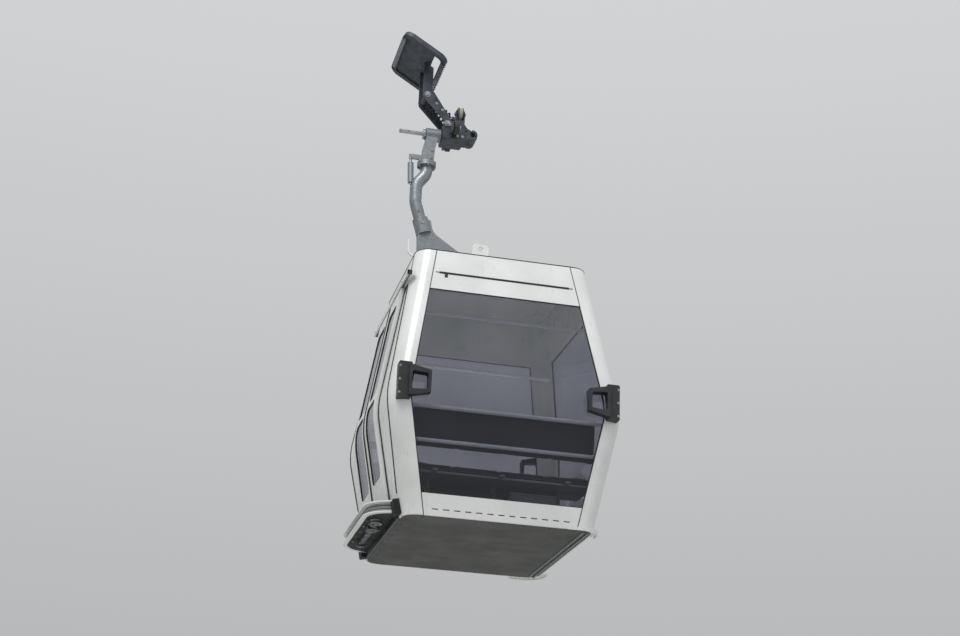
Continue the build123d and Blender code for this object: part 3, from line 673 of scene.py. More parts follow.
# a flat strip with a low crown that follows points on a face; normals point out of the face
def makeStrip(name, lines, width, thickness, slotName, body="cabin"):
    section = [(-0.5, -0.3), (-0.5, 0.7), (-0.38, 1.0), (0.38, 1.0), (0.5, 0.7), (0.5, -0.3)]
    shape = bmesh.new()
    for points, normals in lines:
        rings = []
        for i, (point, normal) in enumerate(zip(points, normals)):
            along = (points[min(i + 1, len(points) - 1)] - points[max(i - 1, 0)]).normalized()
            side = along.cross(normal).normalized()
            across, outward = side * width, normal * thickness
            rings.append([shape.verts.new(point + across * a + outward * b) for a, b in section])
        for first, second in zip(rings, rings[1:]):
            for i in range(len(section)):
                j = (i + 1) % len(section)
                shape.faces.new((first[i], first[j], second[j], second[i]))
        shape.faces.new(rings[0])
        shape.faces.new(rings[-1])
    return shapePiece(shape, name, 35, slotName, body)


# closed rings turned from (radius, along) profiles, each round its own line
def makeLathes(name, rings, slotName, body="cabin", material=None, steps=48):
    shape = bmesh.new()
    for profile, middle, axis in rings:
        place = Matrix.Translation(middle) @ Vector(axis).to_track_quat("Z", "Y").to_matrix().to_4x4()
        rows = []
        for i in range(steps):
            turn = Matrix.Rotation(2 * math.pi * i / steps, 4, "Z")
            rows.append([shape.verts.new(place @ turn @ Vector((r, 0, along))) for r, along in profile])
        for i, row in enumerate(rows):
            following = rows[(i + 1) % steps]
            for j in range(len(profile)):
                k = (j + 1) % len(profile)
                shape.faces.new((row[j], row[k], following[k], following[j]))
    return shapePiece(shape, name, 40, slotName, body, material)


# a round-edged block for each (middle, size) or (middle, size, turn about Y in degrees)
def makeBlocks(name, blocks, slotName, edge, body="cabin", material=None):
    shape = bmesh.new()
    for middle, size, *lean in blocks:
        turn = Matrix.Rotation(math.radians(sum(lean)), 4, "Y")
        place = Matrix.Translation(middle) @ turn @ Matrix.Diagonal((*size, 1))
        bmesh.ops.create_cube(shape, size=1, matrix=place)
    mesh = meshOf(shape, name + "Draft")
    mesh.materials.append(material or finishOf[slotName])
    mesh.shade_smooth()
    draft = linkObject(name + "Draft", mesh)
    bevel = draft.modifiers.new("edge", "BEVEL")
    bevel.width, bevel.segments = edge, 3
    draft.modifiers.new("shading", "WEIGHTED_NORMAL")
    return finishPiece(bakeObject(draft, name), body)


seals = {
    "windowBead": 0.007,
    "doorGlassBead": 0.008,
    "lightsMeet": 1.13,  # where the two lights of a leaf meet, above the floor
    "postSeam": 0.0035,
    "column": (0.022, 0.005),  # width and thickness
    "columnFoot": 0.19,  # above the floor
    "columnTop": -0.06,  # from the leaf's top
    "columnRound": 0.07,  # height of the rounded top
    "columnGap": 0.014,  # from the leaf's edge to the inner line
    "meetingEdge": (0.022, 0.004),
    "eaveSeam": 0.005,
    "eaveCorner": 0.14,
}


# beads' lines, moved in where a bead would stand past the cabin's widest point
def withinWidth(lines, radius):
    widest = cadBox[1][0] - radius
    return [[Vector((min(p[0], widest), p[1], p[2])) for p in line] for line in lines]


# the upper and the lower light of a leaf's glass, each as a loop
def splitLights(node):
    points = faceCorners(node, left)
    heights = sorted(p.z for p in points)
    gaps = [(a + b) / 2 for a, b in zip(heights, heights[1:]) if b - a > 0.03]
    middle = min(gaps, key=lambda z: abs(z - floorZ - seals["lightsMeet"]))
    loops = []
    for part in ([p for p in points if p.z < middle], [p for p in points if p.z > middle]):
        y = (min(p.y for p in part) + max(p.y for p in part)) / 2
        z = (min(p.z for p in part) + max(p.z for p in part)) / 2
        loops.append(sorted(part, key=lambda p: math.atan2(p.z - z, p.y - y)))
    return loops


def makeGlassBeads():
    radius = seals["windowBead"]
    sides = {"front": front, "rear": rear, "right": right}
    panes = [borderLoop("window_" + side, outward) for side, outward in sides.items()]
    makeBead("windowGaskets", withinWidth(panes, radius), radius, "rubber", closed=True)
    for end, _ in ends:
        name, loops = "doorGlassGaskets" + end.title(), splitLights("door_glass_" + end)
        makeBead(name, loops, seals["doorGlassBead"], "rubber", closed=True, body="door_" + end)


def makePostSeams():
    lines = []
    for part in ("fascia_", "sill_"):
        for end, outward in (("front", front), ("rear", rear)):
            for side in (-1, 1):
                corners = edgeLine(part + end, outward, lambda p: (p.x - cabinX) * side > 0.55)
                lines.append([corners[0], corners[-1]])
    for side in (-1, 1):
        lines.append(edgeLine("side_frame_right", right, lambda p: p.y * side > edgeY(p.z) - 0.004))
    radius = seals["postSeam"]
    makeBead("postSeams", withinWidth(lines, radius), radius, "rubber")


# up beside the post, round the top and down beside the leaf; a thin seam goes on to the eave
def makeColumnSeals():
    surface = surfaceOf("side_panel_left")
    low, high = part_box("door_leaf_rear")
    inner = high.y + seals["columnGap"]
    top, arc = high.z + seals["columnTop"], seals["columnRound"]
    outer = edgeY(top) - 0.006
    lines, above = [], []
    for side in (-1, 1):
        path = [(edgeY(z) - 0.006, z) for z in spread(floorZ + seals["columnFoot"], top - arc, 30)]
        for i in range(1, 8):
            turn = math.pi * i / 8
            y = (outer + inner) / 2 + (outer - inner) / 2 * math.cos(turn)
            path.append((y, top - arc + arc * math.sin(turn)))
        path += [(inner, z) for z in reversed(spread(low.z + 0.02, top - arc, 28))]
        lines.append(castLine(surface, [(-farOff, side * y, z) for y, z in path], right))
        heights = spread(top + 0.02, eaveZ - 0.01, 8)
        starts = [(-farOff, side * (edgeY(z) - 0.003), z) for z in heights]
        above.append(castLine(surface, starts, right)[0])
    makeStrip("doorColumnSeals", lines, *seals["column"], "rubber")
    makeBead("upperSideSeams", above, seals["postSeam"], "rubber")


def makeMeetingSeals():
    wide, thick = seals["meetingEdge"]
    for end, side in ends:
        node = "door_leaf_" + end
        low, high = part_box(node)
        heights = spread(low.z + 0.004, high.z - 0.06, 26)
        line = castLine(surfaceOf(node), [(-farOff, side * (0.003 + wide / 2), z) for z in heights], right)
        makeStrip("meetingSeal" + end.title(), [line], wide, thick, "rubber", body="door_" + end)


def makeEaveSeam():
    radius, half = seals["eaveCorner"], (roofHigh - roofLow) / 2
    halfX, halfY = half.x - 0.001 - radius, half.y - 0.001 - radius
    loop = []
    for quarter, (sx, sy) in enumerate(((1, 1), (-1, 1), (-1, -1), (1, -1))):
        for turn in spread(math.pi / 2 * quarter, math.pi / 2 * (quarter + 1), 9):
            x = cabinX + sx * halfX + radius * math.cos(turn)
            loop.append(Vector((x, sy * halfY + radius * math.sin(turn), eaveZ)))
    makeBead("eaveSeam", [loop], seals["eaveSeam"], "rubber", closed=True)


makeGlassBeads()
makePostSeams()
makeColumnSeals()
makeMeetingSeals()
makeEaveSeam()
print("seals done")

trim = {
    "slot": (0.02, 0.003),  # height, and how far the insert stands out
    "slotSide": 0.09,  # from the insert's end to the fascia's edge
    "slotDrop": 0.233,  # from the eave to the slot's middle
    "slotEdge": 0.018,  # from the slot's middle to the faces above and below it
    "tab": (0.026, 0.014, 0.036),
    "tabPlace": (-0.52, -0.261),  # from the cabin's middle and the eave
    "handleScrews": (-0.115, 0.0, 0.115),
    "handleScrewSide": 0.012,  # from the plate's outer edge
}


def makeFasciaSlots():
    for end, side in ends:
        node = "fascia_" + end
        surface = surfaceOf(node)
        level = eaveZ - trim["slotDrop"]
        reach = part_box(node)[1].x - cabinX - trim["slotSide"]
        edges = []
        for z in (level + trim["slotEdge"], level - trim["slotEdge"]):
            starts = [(x, side * farOff, z) for x in spread(cabinX - reach, cabinX + reach, 24)]
            edges.append(castLine(surface, starts, (0, -side, 0)))
        middle = [(a + b) / 2 for a, b in zip(edges[0][0], edges[1][0])]
        makeStrip("slotInsert" + end.title(), [(middle, edges[0][1])], *trim["slot"], "rubber")
    x, z = trim["tabPlace"]
    spot, _ = meet(surfaceOf("fascia_front"), (cabinX + x, -farOff, eaveZ + z), rear)
    makeBlocks("slotTab", [(spot, trim["tab"])], "black_plastic", edge=0.003)


def makeHandleScrews():
    low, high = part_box("corner_handles")
    reach, level = high.x - cabinX - trim["handleScrewSide"], (low.z + high.z) / 2
    spots = [(cabinX + side * reach, level + rise) for side in (-1, 1) for rise in trim["handleScrews"]]
    makeFasteners("handleScrews", *bothSides("corner_handles", spots))


leafFoot = {
    "shorter": 0.012,  # than the leaf
    "inward": 0.016,  # from the leaf's skin to the rail's middle
    "rail": (0.022, 0.012, 0.004),  # width, bottom above the guide, and how far it goes up into the leaf
    "wiper": (0.008, 0.010, 0.009),  # width, height, and middle above the guide
    "wiperShorter": 0.02,  # than the rail
}


# the foot of each leaf: a painted rail and a wiper, just clear of the guide
def makeLeafFeet():
    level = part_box("door_guide")[1].z
    for end, _ in ends:
        node = "door_leaf_" + end
        low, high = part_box(node)
        y, long = (low.y + high.y) / 2, high.y - low.y - leafFoot["shorter"]
        x = meet(surfaceOf(node), (-farOff, y, low.z + 0.01), right)[0].x + leafFoot["inward"]
        wide, lift, overlap = leafFoot["rail"]
        bottom, top = level + lift, low.z + overlap
        rail = ((x, y, (top + bottom) / 2), (wide, long, top - bottom))
        makeBlocks("leafFoot" + end.title(), [rail], "white_paint", edge=0.003, body="door_" + end)
        wide, tall, lift = leafFoot["wiper"]
        lip = ((x, y, level + lift), (wide, long - leafFoot["wiperShorter"], tall))
        makeBlocks("leafWiper" + end.title(), [lip], "rubber", edge=0.002, body="door_" + end)


track = {"cap": (0.044, 0.006), "capInset": 0.023, "screws": 9, "screwInset": 0.05}
drive = {
    "pulley": (0.07, 0.048),  # from the drive's near outer corner
    "rim": (0.036, 0.049, 0.0495, 0.043, 0.0495, 0.049, 0.036),  # radii, and their heights
    "rimHeights": (-0.004, -0.004, 0.003, 0.012, 0.021, 0.030, 0.030),
    "leverBolt": 0.038,  # from the far end
    "rodBolts": (0.28, 0.1, 4),  # from the near end, from the far end, and how many
    "rodSide": 0.012,  # from the rod's middle
}


def makeTrackFittings():
    low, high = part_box("door_track")
    (wide, long), level = track["cap"], (low.z + high.z) / 2
    size = (wide, long, high.z - low.z - 0.002)
    caps = [((low.x + track["capInset"], y, level), size) for y in (low.y + long / 2, high.y - long / 2)]
    makeBlocks("trackEndCaps", caps, "black_plastic", edge=0.002)
    ys = spread(low.y + track["screwInset"], high.y - track["screwInset"], track["screws"])
    makeFasteners("trackScrews", ("door_track", right, [(-farOff, y, level) for y in ys]))


def makeDriveFittings():
    low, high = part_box("door_drive")
    x, y, under = low.x + drive["pulley"][0], low.y + drive["pulley"][1], low.z - 0.5
    spot, _ = meet(surfaceOf("door_drive"), (x, y, under), up)
    rim = list(zip(drive["rim"], drive["rimHeights"]))
    makeLathes("drivePulley", [(rim, spot, up)], "grey_plastic")
    first, last, count = drive["rodBolts"]
    starts = [(x, y, under), (x, high.y - drive["leverBolt"], under)]
    for side in (-drive["rodSide"], drive["rodSide"]):
        starts += [(x + side, y, under) for y in spread(low.y + first, high.y - last, count)]
    makeFasteners("driveBolts", ("door_drive", up, starts))


guide = {
    "rayCentre": 0.42,  # from the cabin's middle, where the rays to the rail's face begin
    "arc": (112, 248),  # degrees
    "liner": (0.06, 0.003),  # width and thickness
    "grooves": (-0.012, 0.012),
    "groove": (0.003, 0.002),  # radius, and how far its middle stands out
    "slope": (0.19, 0.986),  # of the wall below the waist
    "wallPlace": (0.6, 0.025),  # Y, and below the guide
    "endBlock": (0.07, 0.12, 0.13),
    "endBlockDrop": 0.024,
    "undertrim": (0.004, 0.048, 0.003),  # thickness and height of the upright, thickness of the flat
    "ribs": 15,
    "rib": 0.0035,
    "ribInset": 0.12,
    "bolts": 7,
    "boltInset": (0.028, 0.15),
}


def makeGuideFittings():
    low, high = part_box("door_guide")
    level = (low.z + high.z) / 2
    centre = Vector((cabinX - guide["rayCentre"], 0, level))
    surface, hits = surfaceOf("door_guide"), []
    for turn in spread(*(math.radians(a) for a in guide["arc"]), 72):
        away = Vector((math.cos(turn), math.sin(turn), 0))
        hits.append(meet(surface, centre + away * farOff, -away))
    points, normals = zip(*(hit for hit in hits if hit))
    makeStrip("guideLiner", [(points, normals)], *guide["liner"], "grey_plastic")
    radius, proud = guide["groove"]
    raised = [p + n * proud for p, n in zip(points, normals)]
    grooves = [[p + Vector((0, 0, rise)) for p in raised] for rise in guide["grooves"]]
    makeBead("guideGrooves", grooves, radius, "rubber", sides=6)
    y, drop = guide["wallPlace"]
    wallX = meet(surfaceOf("side_panel_left"), (-farOff, y, low.z - drop), right)[0].x
    lean = -math.degrees(math.atan2(*guide["slope"]))
    wide, long, tall = size = guide["endBlock"]
    x, z = wallX - wide / 3, level - guide["endBlockDrop"]
    blocks = [((x, side * (high.y + long / 4), z), size, lean) for side in (-1, 1)]
    makeBlocks("guideEndBlocks", blocks, "rubber", edge=0.008)
    long, floorEdge = high.y * 2, floorPanLow.x
    thick, tall, flat = guide["undertrim"]
    upright = ((wallX - 0.001, 0, low.z - drop), (thick, long, tall), lean)
    under = (((wallX + floorEdge) / 2, 0, floorZ - flat / 2), (floorEdge - wallX + 0.02, long, flat))
    makeBlocks("doorwayUndertrim", [upright, under], "black_plastic", edge=0.001)


def makeStepFittings():
    low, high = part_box("door_step")
    near, far = low.y + guide["ribInset"], high.y - guide["ribInset"]
    xs = spread(low.x + 0.03, high.x - 0.02, guide["ribs"])
    ribs = [[(x, near, high.z), (x, far, high.z)] for x in xs]
    makeBead("stepRibs", ribs, guide["rib"], "step_black", sides=6)
    x, inset = guide["boltInset"]
    ys = spread(low.y + inset, high.y - inset, guide["bolts"])
    makeFasteners("stepBolts", ("door_step", up, [(low.x + x, y, low.z - 0.5) for y in ys]))


pan = {
    "lip": (0.018, 0.016),  # from the pan's box to its flat underside, in X and Y
    "screwInset": 0.035,
    "corner": 0.12,  # free of screws
    "screws": (7, 9),  # across and along
    "rails": (0.03, 0.075),  # from the flat underside's right edge
    "railRadius": 0.008,
    "railDrop": 0.004,
}


def makeFloorFittings():
    (lipX, lipY), inset, corner = pan["lip"], pan["screwInset"], pan["corner"]
    west, east = floorPanLow.x + lipX + inset, floorPanHigh.x - lipX - inset
    near, far = floorPanLow.y + lipY + inset, floorPanHigh.y - lipY - inset
    across, along = pan["screws"]
    starts = [(x, y, floorZ - 1) for x in spread(west + corner, east - corner, across) for y in (near, far)]
    starts += [(x, y, floorZ - 1) for y in spread(near + corner, far - corner, along) for x in (west, east)]
    makeFasteners("floorScrews", ("floor_pan", up, starts))
    z = floorZ - pan["railDrop"]
    rails = [[(east + inset - d, near, z), (east + inset - d, far, z)] for d in pan["rails"]]
    makeBead("floorEdgeRails", rails, pan["railRadius"], "galvanised", sides=12)


hanger = {
    "flangeX": -0.405,
    "flangeBolts": (22, 90, 158, 202, 270, 338),  # degrees round the flange
    "flangeCircle": 0.073,
    "neckBolts": ((-0.366, -0.195), (-0.372, -0.272)),  # X and Z
    "armBolts": ((-0.467, -0.832), (-0.425, -0.955)),
    "damper": ((-0.556, 0.0, -0.335), (-0.546, 0.0, -0.535)),  # top and foot of its body
    "damperRadius": 0.028,
    "rodRadius": 0.012,
    "rodTop": 0.07,  # above the body
    "bracketRoot": -0.42,
    "bracket": (0.03, 0.02, 0.05),  # past the two ends, depth and height
}


def makeHangerFittings():
    level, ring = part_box("hanger_head")[0].z, []
    for turn in hanger["flangeBolts"]:
        x = hanger["flangeX"] + hanger["flangeCircle"] * math.cos(math.radians(turn))
        ring.append((x, hanger["flangeCircle"] * math.sin(math.radians(turn))))
    above = ("hanger_head", down, [(x, y, level + 0.05) for x, y in ring])
    below = ("hanger_arm", up, [(x, y, level - 0.10) for x, y in ring])
    makeFasteners("flangeBolts", above, below)
    makeFasteners("neckBolts", *bothSides("hanger_head", hanger["neckBolts"]))
    makeFasteners("armBolts", bothSides("hanger_arm hanger_yoke", hanger["armBolts"])[0])
    top, foot = (Vector(end) for end in hanger["damper"])
    makeBead("damperBody", [[top, foot]], hanger["damperRadius"], "galvanised", sides=28)
    downward = (foot - top).normalized()
    link = top - downward * hanger["rodTop"]
    rods = [[link, top + downward * 0.01], [foot - downward * 0.01, foot + downward * 0.02]]
    makeBead("damperRod", rods, hanger["rodRadius"], "bare_steel", sides=16)
    (past, deep, tall), rootX = hanger["bracket"], hanger["bracketRoot"]
    bracket = (((rootX + link.x) / 2, 0, link.z), (abs(link.x - rootX) + past, deep, tall))
    makeBlocks("damperBracket", [bracket], "galvanised", edge=0.005)
    makeFasteners("damperBolts", *bothSides("damperBracket", [(link.x + 0.005, link.z)]))


roof = {
    "cross": (0.03, 0.22),  # bolts this far from the cradle's ends
    "middle": 0.2,  # and from the cabin's middle
    "beams": (0.163, 0.227),
    "lug": (0.14, 0.4),  # from the cabin's middle, in X and Y
    "lugScrews": (0.05, 0.022),
}


def makeRoofFittings():
    low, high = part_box("roof_frame")
    (outer, inner), middle = roof["cross"], roof["middle"]
    xs = (low.x + outer, low.x + inner, cabinX - middle, cabinX + middle, high.x - inner, high.x - outer)
    starts = [(x, side * y, high.z + 1) for x in xs for y in roof["beams"] for side in (-1, 1)]
    makeFasteners("roofFrameBolts", ("roof_frame", down, starts))
    (lugX, lugY), (stepX, stepY) = roof["lug"], roof["lugScrews"]
    starts = []
    for sign in (-1, 1):
        for x in (cabinX + sign * lugX - stepX, cabinX + sign * lugX + stepX):
            starts += [(x, sign * lugY + y, high.z + 1) for y in (-stepY, stepY)]
    makeFasteners("lugScrews", ("roof_lugs", down, starts))
    # the two suspension shafts lie in the middle of the four bushes
    low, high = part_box("suspension_bushes")
    half = (high.z - low.z) / 2
    shafts = [(low.x + half, low.z + half), (high.x - half, low.z + half)]
    makeFasteners("shaftEndNuts", *bothSides("hanger_yoke", shafts))


makeFasciaSlots()
makeHandleScrews()
makeLeafFeet()
makeTrackFittings()
makeDriveFittings()
makeGuideFittings()
makeStepFittings()
makeFloorFittings()
makeHangerFittings()
makeRoofFittings()
print("cabin and hanger fittings done")

grip = {
    "pivot": (-0.25, 0.07),  # X and Z, as in the joint's place
    "springSeat": (-0.19, 0.15),
    "springAnchor": (-0.45, 0.35),
    "springSide": 0.048,
    "springRadius": 0.029,
    "springWire": 0.0085,
    "springTurns": 6.5,
    "seatBar": 0.017,
    "anchorBar": 0.029,
    "lowCheekBolts": ((-0.21, -0.045), (-0.15, -0.045), (-0.10, -0.045), (-0.15, 0.0)),
    "highCheekBolts": ((-0.36, 0.265), (-0.30, 0.205)),
    "wheelSide": 0.182,
    "rollerZ": 0.245,
    "plateBolts": (4, 0.1, 0.05, 0.025),  # in a row, and from the plate's ends, left edge and right edge
}


def coilTree():
    tree, given = newTree("coilSpring", Radius="Float", Wire="Float", Turns="Float", Length="Float")
    sizes = {"Rotations": given["Turns"], "Height": given["Length"]}
    sizes.update({"Start Radius": given["Radius"], "End Radius": given["Radius"]})
    spiral = addNode(tree, "GeometryNodeCurveSpiral", {"Resolution": 26}, sizes)
    ring = addNode(tree, "GeometryNodeCurvePrimitiveCircle", {"Resolution": 10}, {"Radius": given["Wire"]})
    return endAsTube(tree, given, spiral.outputs[0], ring)


def makeSprings():
    coil = coilTree()
    (seatX, seatZ), (anchorX, anchorZ) = grip["springSeat"], grip["springAnchor"]
    wire = grip["springWire"]
    for name, side in (("springNear", -1), ("springFar", 1)):
        y = side * grip["springSide"]
        start, end = Vector((seatX, y, seatZ)), Vector((anchorX, y, anchorZ))
        along = (end - start).normalized()
        start, end = start + along * (grip["seatBar"] + wire), end - along * (grip["anchorBar"] + wire)
        values = {"Radius": grip["springRadius"], "Wire": wire, "Turns": grip["springTurns"]}
        values.update({"Length": (end - start).length, "Finish": finishOf["spring_steel"]})
        blank = linkObject(name + "Blank", bpy.data.meshes.new(name + "Blank"))
        piece = runTree(blank, coil, values, name)
        piece.data.transform(Matrix.Translation(start) @ along.to_track_quat("Z", "Y").to_matrix().to_4x4())
        piece.data.shade_smooth()
        if side < 0:
            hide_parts("jaw_springs")
        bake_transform(piece)


def makeGripFittings():
    makeFasteners("cheekNuts", *bothSides("grip_body", (grip["pivot"], grip["springAnchor"])))
    makeFasteners("cheekBolts", *bothSides("grip_body", grip["lowCheekBolts"] + grip["highCheekBolts"]))
    wheels = [(0.6, y, 0) for y in (-grip["wheelSide"], grip["wheelSide"])]
    makeFasteners("wheelNuts", ("grip_body", left, wheels))
    rows = [("jaw_lever", (-side, 0, 0), [(side, 0, grip["rollerZ"])]) for side in (-1, 1)]
    makeFasteners("forkNuts", *rows)
    low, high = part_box("friction_plate")
    count, inset, outer, inner = grip["plateBolts"]
    ys = spread(low.y + inset, high.y - inset, count)
    starts = [(x, y, high.z + 1) for x in (low.x + outer, high.x - inner) for y in ys]
    makeFasteners("plateBolts", ("friction_plate", down, starts))


# a tyre over a wheel's rim: half its width and the radius come from the CAD wheel
def tyreProfile(radius, half):
    depth, shoulder, crown, proud = 0.014, 0.006, 0.001, 0.0007
    outside = [(depth, half + proud), (shoulder, half + proud), (crown, half - 0.003), (-proud, half * 0.5)]
    return [(radius - d, -x) for d, x in outside] + [(radius - d, x) for d, x in reversed(outside)]


def makeTyres():
    treads = {"coupling_roller": "castPolyurethanePale"}
    for node in ("coupling_roller", "running_wheel_front", "running_wheel_rear"):
        low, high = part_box(node)
        ring = tyreProfile((high.z - low.z) / 2, (high.x - low.x) / 2)
        finish = moulded[treads.get(node, "castPolyurethaneTread")]
        name = node.title().replace("_", "") + "Tyre"
        makeLathes(name, [(ring, (low + high) / 2, right)], "black_plastic", node, finish, steps=64)


makeSprings()
makeGripFittings()
makeTyres()
print("grip done")

padding = {
    "voxel": 0.014,
    "inset": 0.007,
    "pressure": 4.0,
    "frames": 20,
    "most": 0.022,  # as far as a point may move
    "places": 4,  # seats on each bench
    "channel": (0.011, 0.012),  # depth and width of the seams between the seats
    "piping": 0.0045,
    "seatEdge": (0.024, 0.012),  # piping from the seat's free edge and from its middle height
    "backEdge": 0.035,  # from the backrest's top and bottom
}


# a cushion that swells from its CAD block and stays flat on the side where it rests
def swellCushion(node, restsToward):
    low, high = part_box(node)
    middle, resting = (low + high) / 2, Vector(restsToward)
    shrink = [1 - 2 * padding["inset"] / (high[i] - low[i]) for i in range(3)]
    place = Matrix.Translation(middle) @ Matrix.Diagonal((*shrink, 1)) @ Matrix.Translation(-middle)
    shape = weldedShape(node)
    bmesh.ops.transform(shape, matrix=place, verts=shape.verts)
    draft = linkObject(node + "Draft", meshOf(shape, node + "Draft"))
    remesh = draft.modifiers.new("remesh", "REMESH")
    remesh.mode = "VOXEL"
    remesh.voxel_size = padding["voxel"]
    draft = bakeObject(draft, node + "Draft")
    before = [v.co.copy() for v in draft.data.vertices]
    still = [v.normal.dot(resting) > 0.35 for v in draft.data.vertices]
    cloth = draft.modifiers.new("cloth", "CLOTH")
    cloth.settings.use_pressure = True
    cloth.settings.uniform_pressure_force = padding["pressure"]
    cloth.settings.effector_weights.gravity = 0
    cloth.point_cache.frame_end = padding["frames"]
    for frameNumber in range(1, padding["frames"] + 1):
        bpy.context.scene.frame_set(frameNumber)
    draft = bakeObject(draft, node + "Draft")
    bpy.context.scene.frame_set(1)
    for vertex, start, fixed in zip(draft.data.vertices, before, still):
        move = Vector() if fixed else vertex.co - start
        if move.length > padding["most"]:
            move = move.normalized() * padding["most"]
        vertex.co = start + move
    subdivide = draft.modifiers.new("smooth", "SUBSURF")
    subdivide.levels = subdivide.render_levels = 1
    draft = bakeObject(draft, node + "Draft")
    seams = spread(low.x, high.x, padding["places"] + 1)[1:-1]
    deep, wide = padding["channel"]
    normals = [v.normal.copy() for v in draft.data.vertices]
    for vertex, normal in zip(draft.data.vertices, normals):
        if normal.dot(resting) <= 0.5:
            pull = sum(math.exp(-(((vertex.co.x - x) / wide) ** 2)) for x in seams)
            vertex.co -= normal * deep * min(pull, 1)
    return draft


def mirroredMesh(mesh):
    shape = bmesh.new()
    shape.from_mesh(mesh)
    bmesh.ops.transform(shape, matrix=Matrix.Diagonal((1, -1, 1, 1)), verts=shape.verts)
    bmesh.ops.reverse_faces(shape, faces=shape.faces)
    return meshOf(shape, mesh.name + "Rear")


def makeCushions():
    for part, restsToward in (("seat", down), ("backrest", front)):
        nearPiece = swellCushion(part + "_front", restsToward)
        farPiece = linkObject(part + "Rear", mirroredMesh(nearPiece.data))
        for end, piece in (("front", nearPiece), ("rear", farPiece)):
            piece.name = piece.data.name = part + end.title() + "Cushion"
            piece.data.shade_smooth()
            finishPiece(piece, "cabin", finishOf["seat_fabric"], "%s_%s" % (part, end))
        print(part + " cushions: %d faces each" % len(nearPiece.data.polygons))


# a sewn piping along each cushion's free edge
def makePiping():
    lines = []
    edge, drop = padding["seatEdge"]
    for end, side in ends:
        seat = surfaceOf("seat%sCushion" % end.title())
        low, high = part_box("seat_" + end)
        inner, level = (high.y if side < 0 else low.y), (low.z + high.z) / 2 - drop
        xs = spread(low.x + 0.03, high.x - 0.03, 60)
        lines.append(castLine(seat, [(x, inner + side * edge, high.z + 1) for x in xs], down)[0])
        lines.append(castLine(seat, [(x, inner - side, level) for x in xs], (0, side, 0))[0])
        back = surfaceOf("backrest%sCushion" % end.title())
        low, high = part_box("backrest_" + end)
        for level in (low.z + padding["backEdge"], high.z - padding["backEdge"]):
            lines.append(castLine(back, [(x, 0, level) for x in xs], (0, side, 0))[0])
    makeBead("cushionPiping", lines, padding["piping"], "rubber", sides=8)


inside = {
    "ceiling": (1.16, 1.08, 0.014),
    "ceilingDrop": 0.012,
    "lamp": (0.62, 0.10, 0.018),
    "mat": (1.36, 1.62, 0.004),
    "matRibs": (26, 0.03, 0.0025),  # how many, from the mat's edge, and radius
    "disc": ((0.0165, -0.004), (0.032, -0.004), (0.032, 0.002), (0.02, 0.006), (0.0165, 0.006)),
    "discPlace": (0.665, 1.85),  # Y, and above the floor
    "footPlate": (0.07, 0.07, 0.006),
    "footInset": 0.02,
    "lid": (0.008, 0.022),  # wider than the box, and its height
    "latch": (0.03, 0.01, 0.05),
    "latches": (0.25, 0.75),  # shares of the box's length
    "boxScrews": (0.08, 0.92),
}


def makeCeiling():
    panel, lamp = inside["ceiling"], inside["lamp"]
    level, foam, opal = eaveZ - inside["ceilingDrop"], moulded["vinylFacedFoam"], moulded["opalAcrylic"]
    makeBlocks("ceilingPanel", [((cabinX, 0, level), panel)], "white_paint", edge=0.006, material=foam)
    bar = ((cabinX, 0, level - panel[2] / 2 - lamp[2] / 2 + 0.002), lamp)
    makeBlocks("ceilingLamp", [bar], "grey_plastic", edge=0.006, material=opal)


def makeFloorMat():
    wide, deep, thick = size = inside["mat"]
    middle, ribbed = (cabinX, 0, floorPanHigh.z + thick / 2), moulded["ribbedStepRubber"]
    makeBlocks("floorMat", [(middle, size)], "rubber", edge=0.002, material=ribbed)
    count, inset, radius = inside["matRibs"]
    halfX, halfY, z = wide / 2 - inset, deep / 2 - inset, floorPanHigh.z + thick
    ribs = [[(cabinX - halfX, y, z), (cabinX + halfX, y, z)] for y in spread(-halfY, halfY, count)]
    makeBead("matRibs", ribs, radius, "rubber", sides=6)


# a disc at each end of the two grab rails
def makeRailDiscs():
    posts = ["post_%s_%s" % (end, side) for end, _ in ends for side in ("left", "right")]
    walls, discs = surfaceOf("side_panel_left", "side_frame_right", *posts), []
    y, z = inside["discPlace"]
    for side in (-1, 1):
        for way in (-1, 1):
            spot, _ = meet(walls, (cabinX, side * y, floorZ + z), (way, 0, 0))
            discs.append((inside["disc"], spot - Vector((way * 0.006, 0, 0)), (-way, 0, 0)))
    makeLathes("railDiscs", discs, "bare_steel", material=moulded["paleTubeCoat"], steps=32)


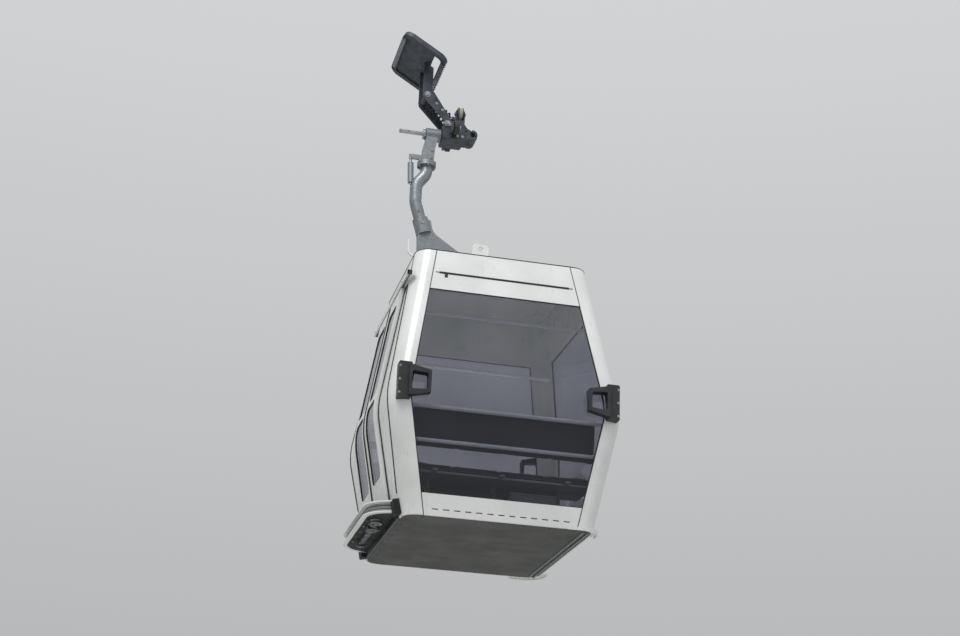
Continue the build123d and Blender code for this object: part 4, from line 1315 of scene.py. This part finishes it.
def makeBenchParts():
    feet, inset = [], inside["footInset"]
    for end, _ in ends:
        low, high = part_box("bench_legs_" + end)
        for x in (low.x + inset, (low.x + high.x) / 2, high.x - inset):
            feet.append(((x, (low.y + high.y) / 2, low.z + 0.007), inside["footPlate"]))
    makeBlocks("legFeet", feet, "grey_plastic", edge=0.002)
    low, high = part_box("equipment_box")
    size, (past, tall) = high - low, inside["lid"]
    middle = ((low.x + high.x) / 2, (low.y + high.y) / 2, high.z + 0.002)
    makeBlocks("boxLid", [(middle, (size.x + past, size.y + past, tall))], "grey_plastic", edge=0.005)
    latches = []
    for share in inside["latches"]:
        place = (low.x + size.x * share, high.y + 0.004, high.z - 0.03)
        latches.append((place, inside["latch"]))
    makeBlocks("boxLatches", latches, "bare_steel", edge=0.003)
    xs = [low.x + size.x * share for share in inside["boxScrews"]]
    starts = [(x, high.y + 1, z) for x in xs for z in (low.z + 0.03, high.z - 0.06)]
    makeFasteners("boxScrews", ("equipment_box", front, starts))


tray = {
    "edge": (-0.335, 0.575),  # X and Z of its lower edge
    "tilt": 31,
    "wide": 0.48,
    "length": 0.54,
    "strip": (0.036, 0.008, 0.025),  # width, thickness, and from the tray's edges
    "lining": (0.05, 0.006, 0.030),  # width, thickness, and above the tray
    "linings": (0.19, 0.27, 0.35),
}


def trayPoint(across, along, lift):
    tilt = math.radians(tray["tilt"])
    x = tray["edge"][0] - across * math.cos(tilt) + lift * math.sin(tilt)
    z = tray["edge"][1] + across * math.sin(tilt) + lift * math.cos(tilt)
    return Vector((x, along, z))


def makeTrayFittings():
    length, tilt = tray["length"], tray["tilt"]
    wide, thick, inset = tray["strip"]
    sides = (inset, tray["wide"] - inset)
    strips = [(trayPoint(across, 0, -0.002), (wide, length, thick), tilt) for across in sides]
    makeBlocks("trayWearStrips", strips, "galvanised", edge=0.002, body="grip")
    ys = spread(-length / 2 + 0.03, length / 2 - 0.03, 5)
    starts = [trayPoint(across, y, -0.5) for across in sides for y in ys]
    makeFasteners("stripBolts", ("trayWearStrips", trayPoint(0, 0, 1) - trayPoint(0, 0, 0), starts))
    wide, thick, lift = tray["lining"]
    lining = [(trayPoint(across, 0, lift), (wide, length, thick), tilt) for across in tray["linings"]]
    makeBlocks("frictionLining", lining, "rubber", edge=0.002, body="grip")


makeCushions()
makePiping()
makeCeiling()
makeFloorMat()
makeRailDiscs()
makeBenchParts()
makeTrayFittings()
print("inside and tray done")
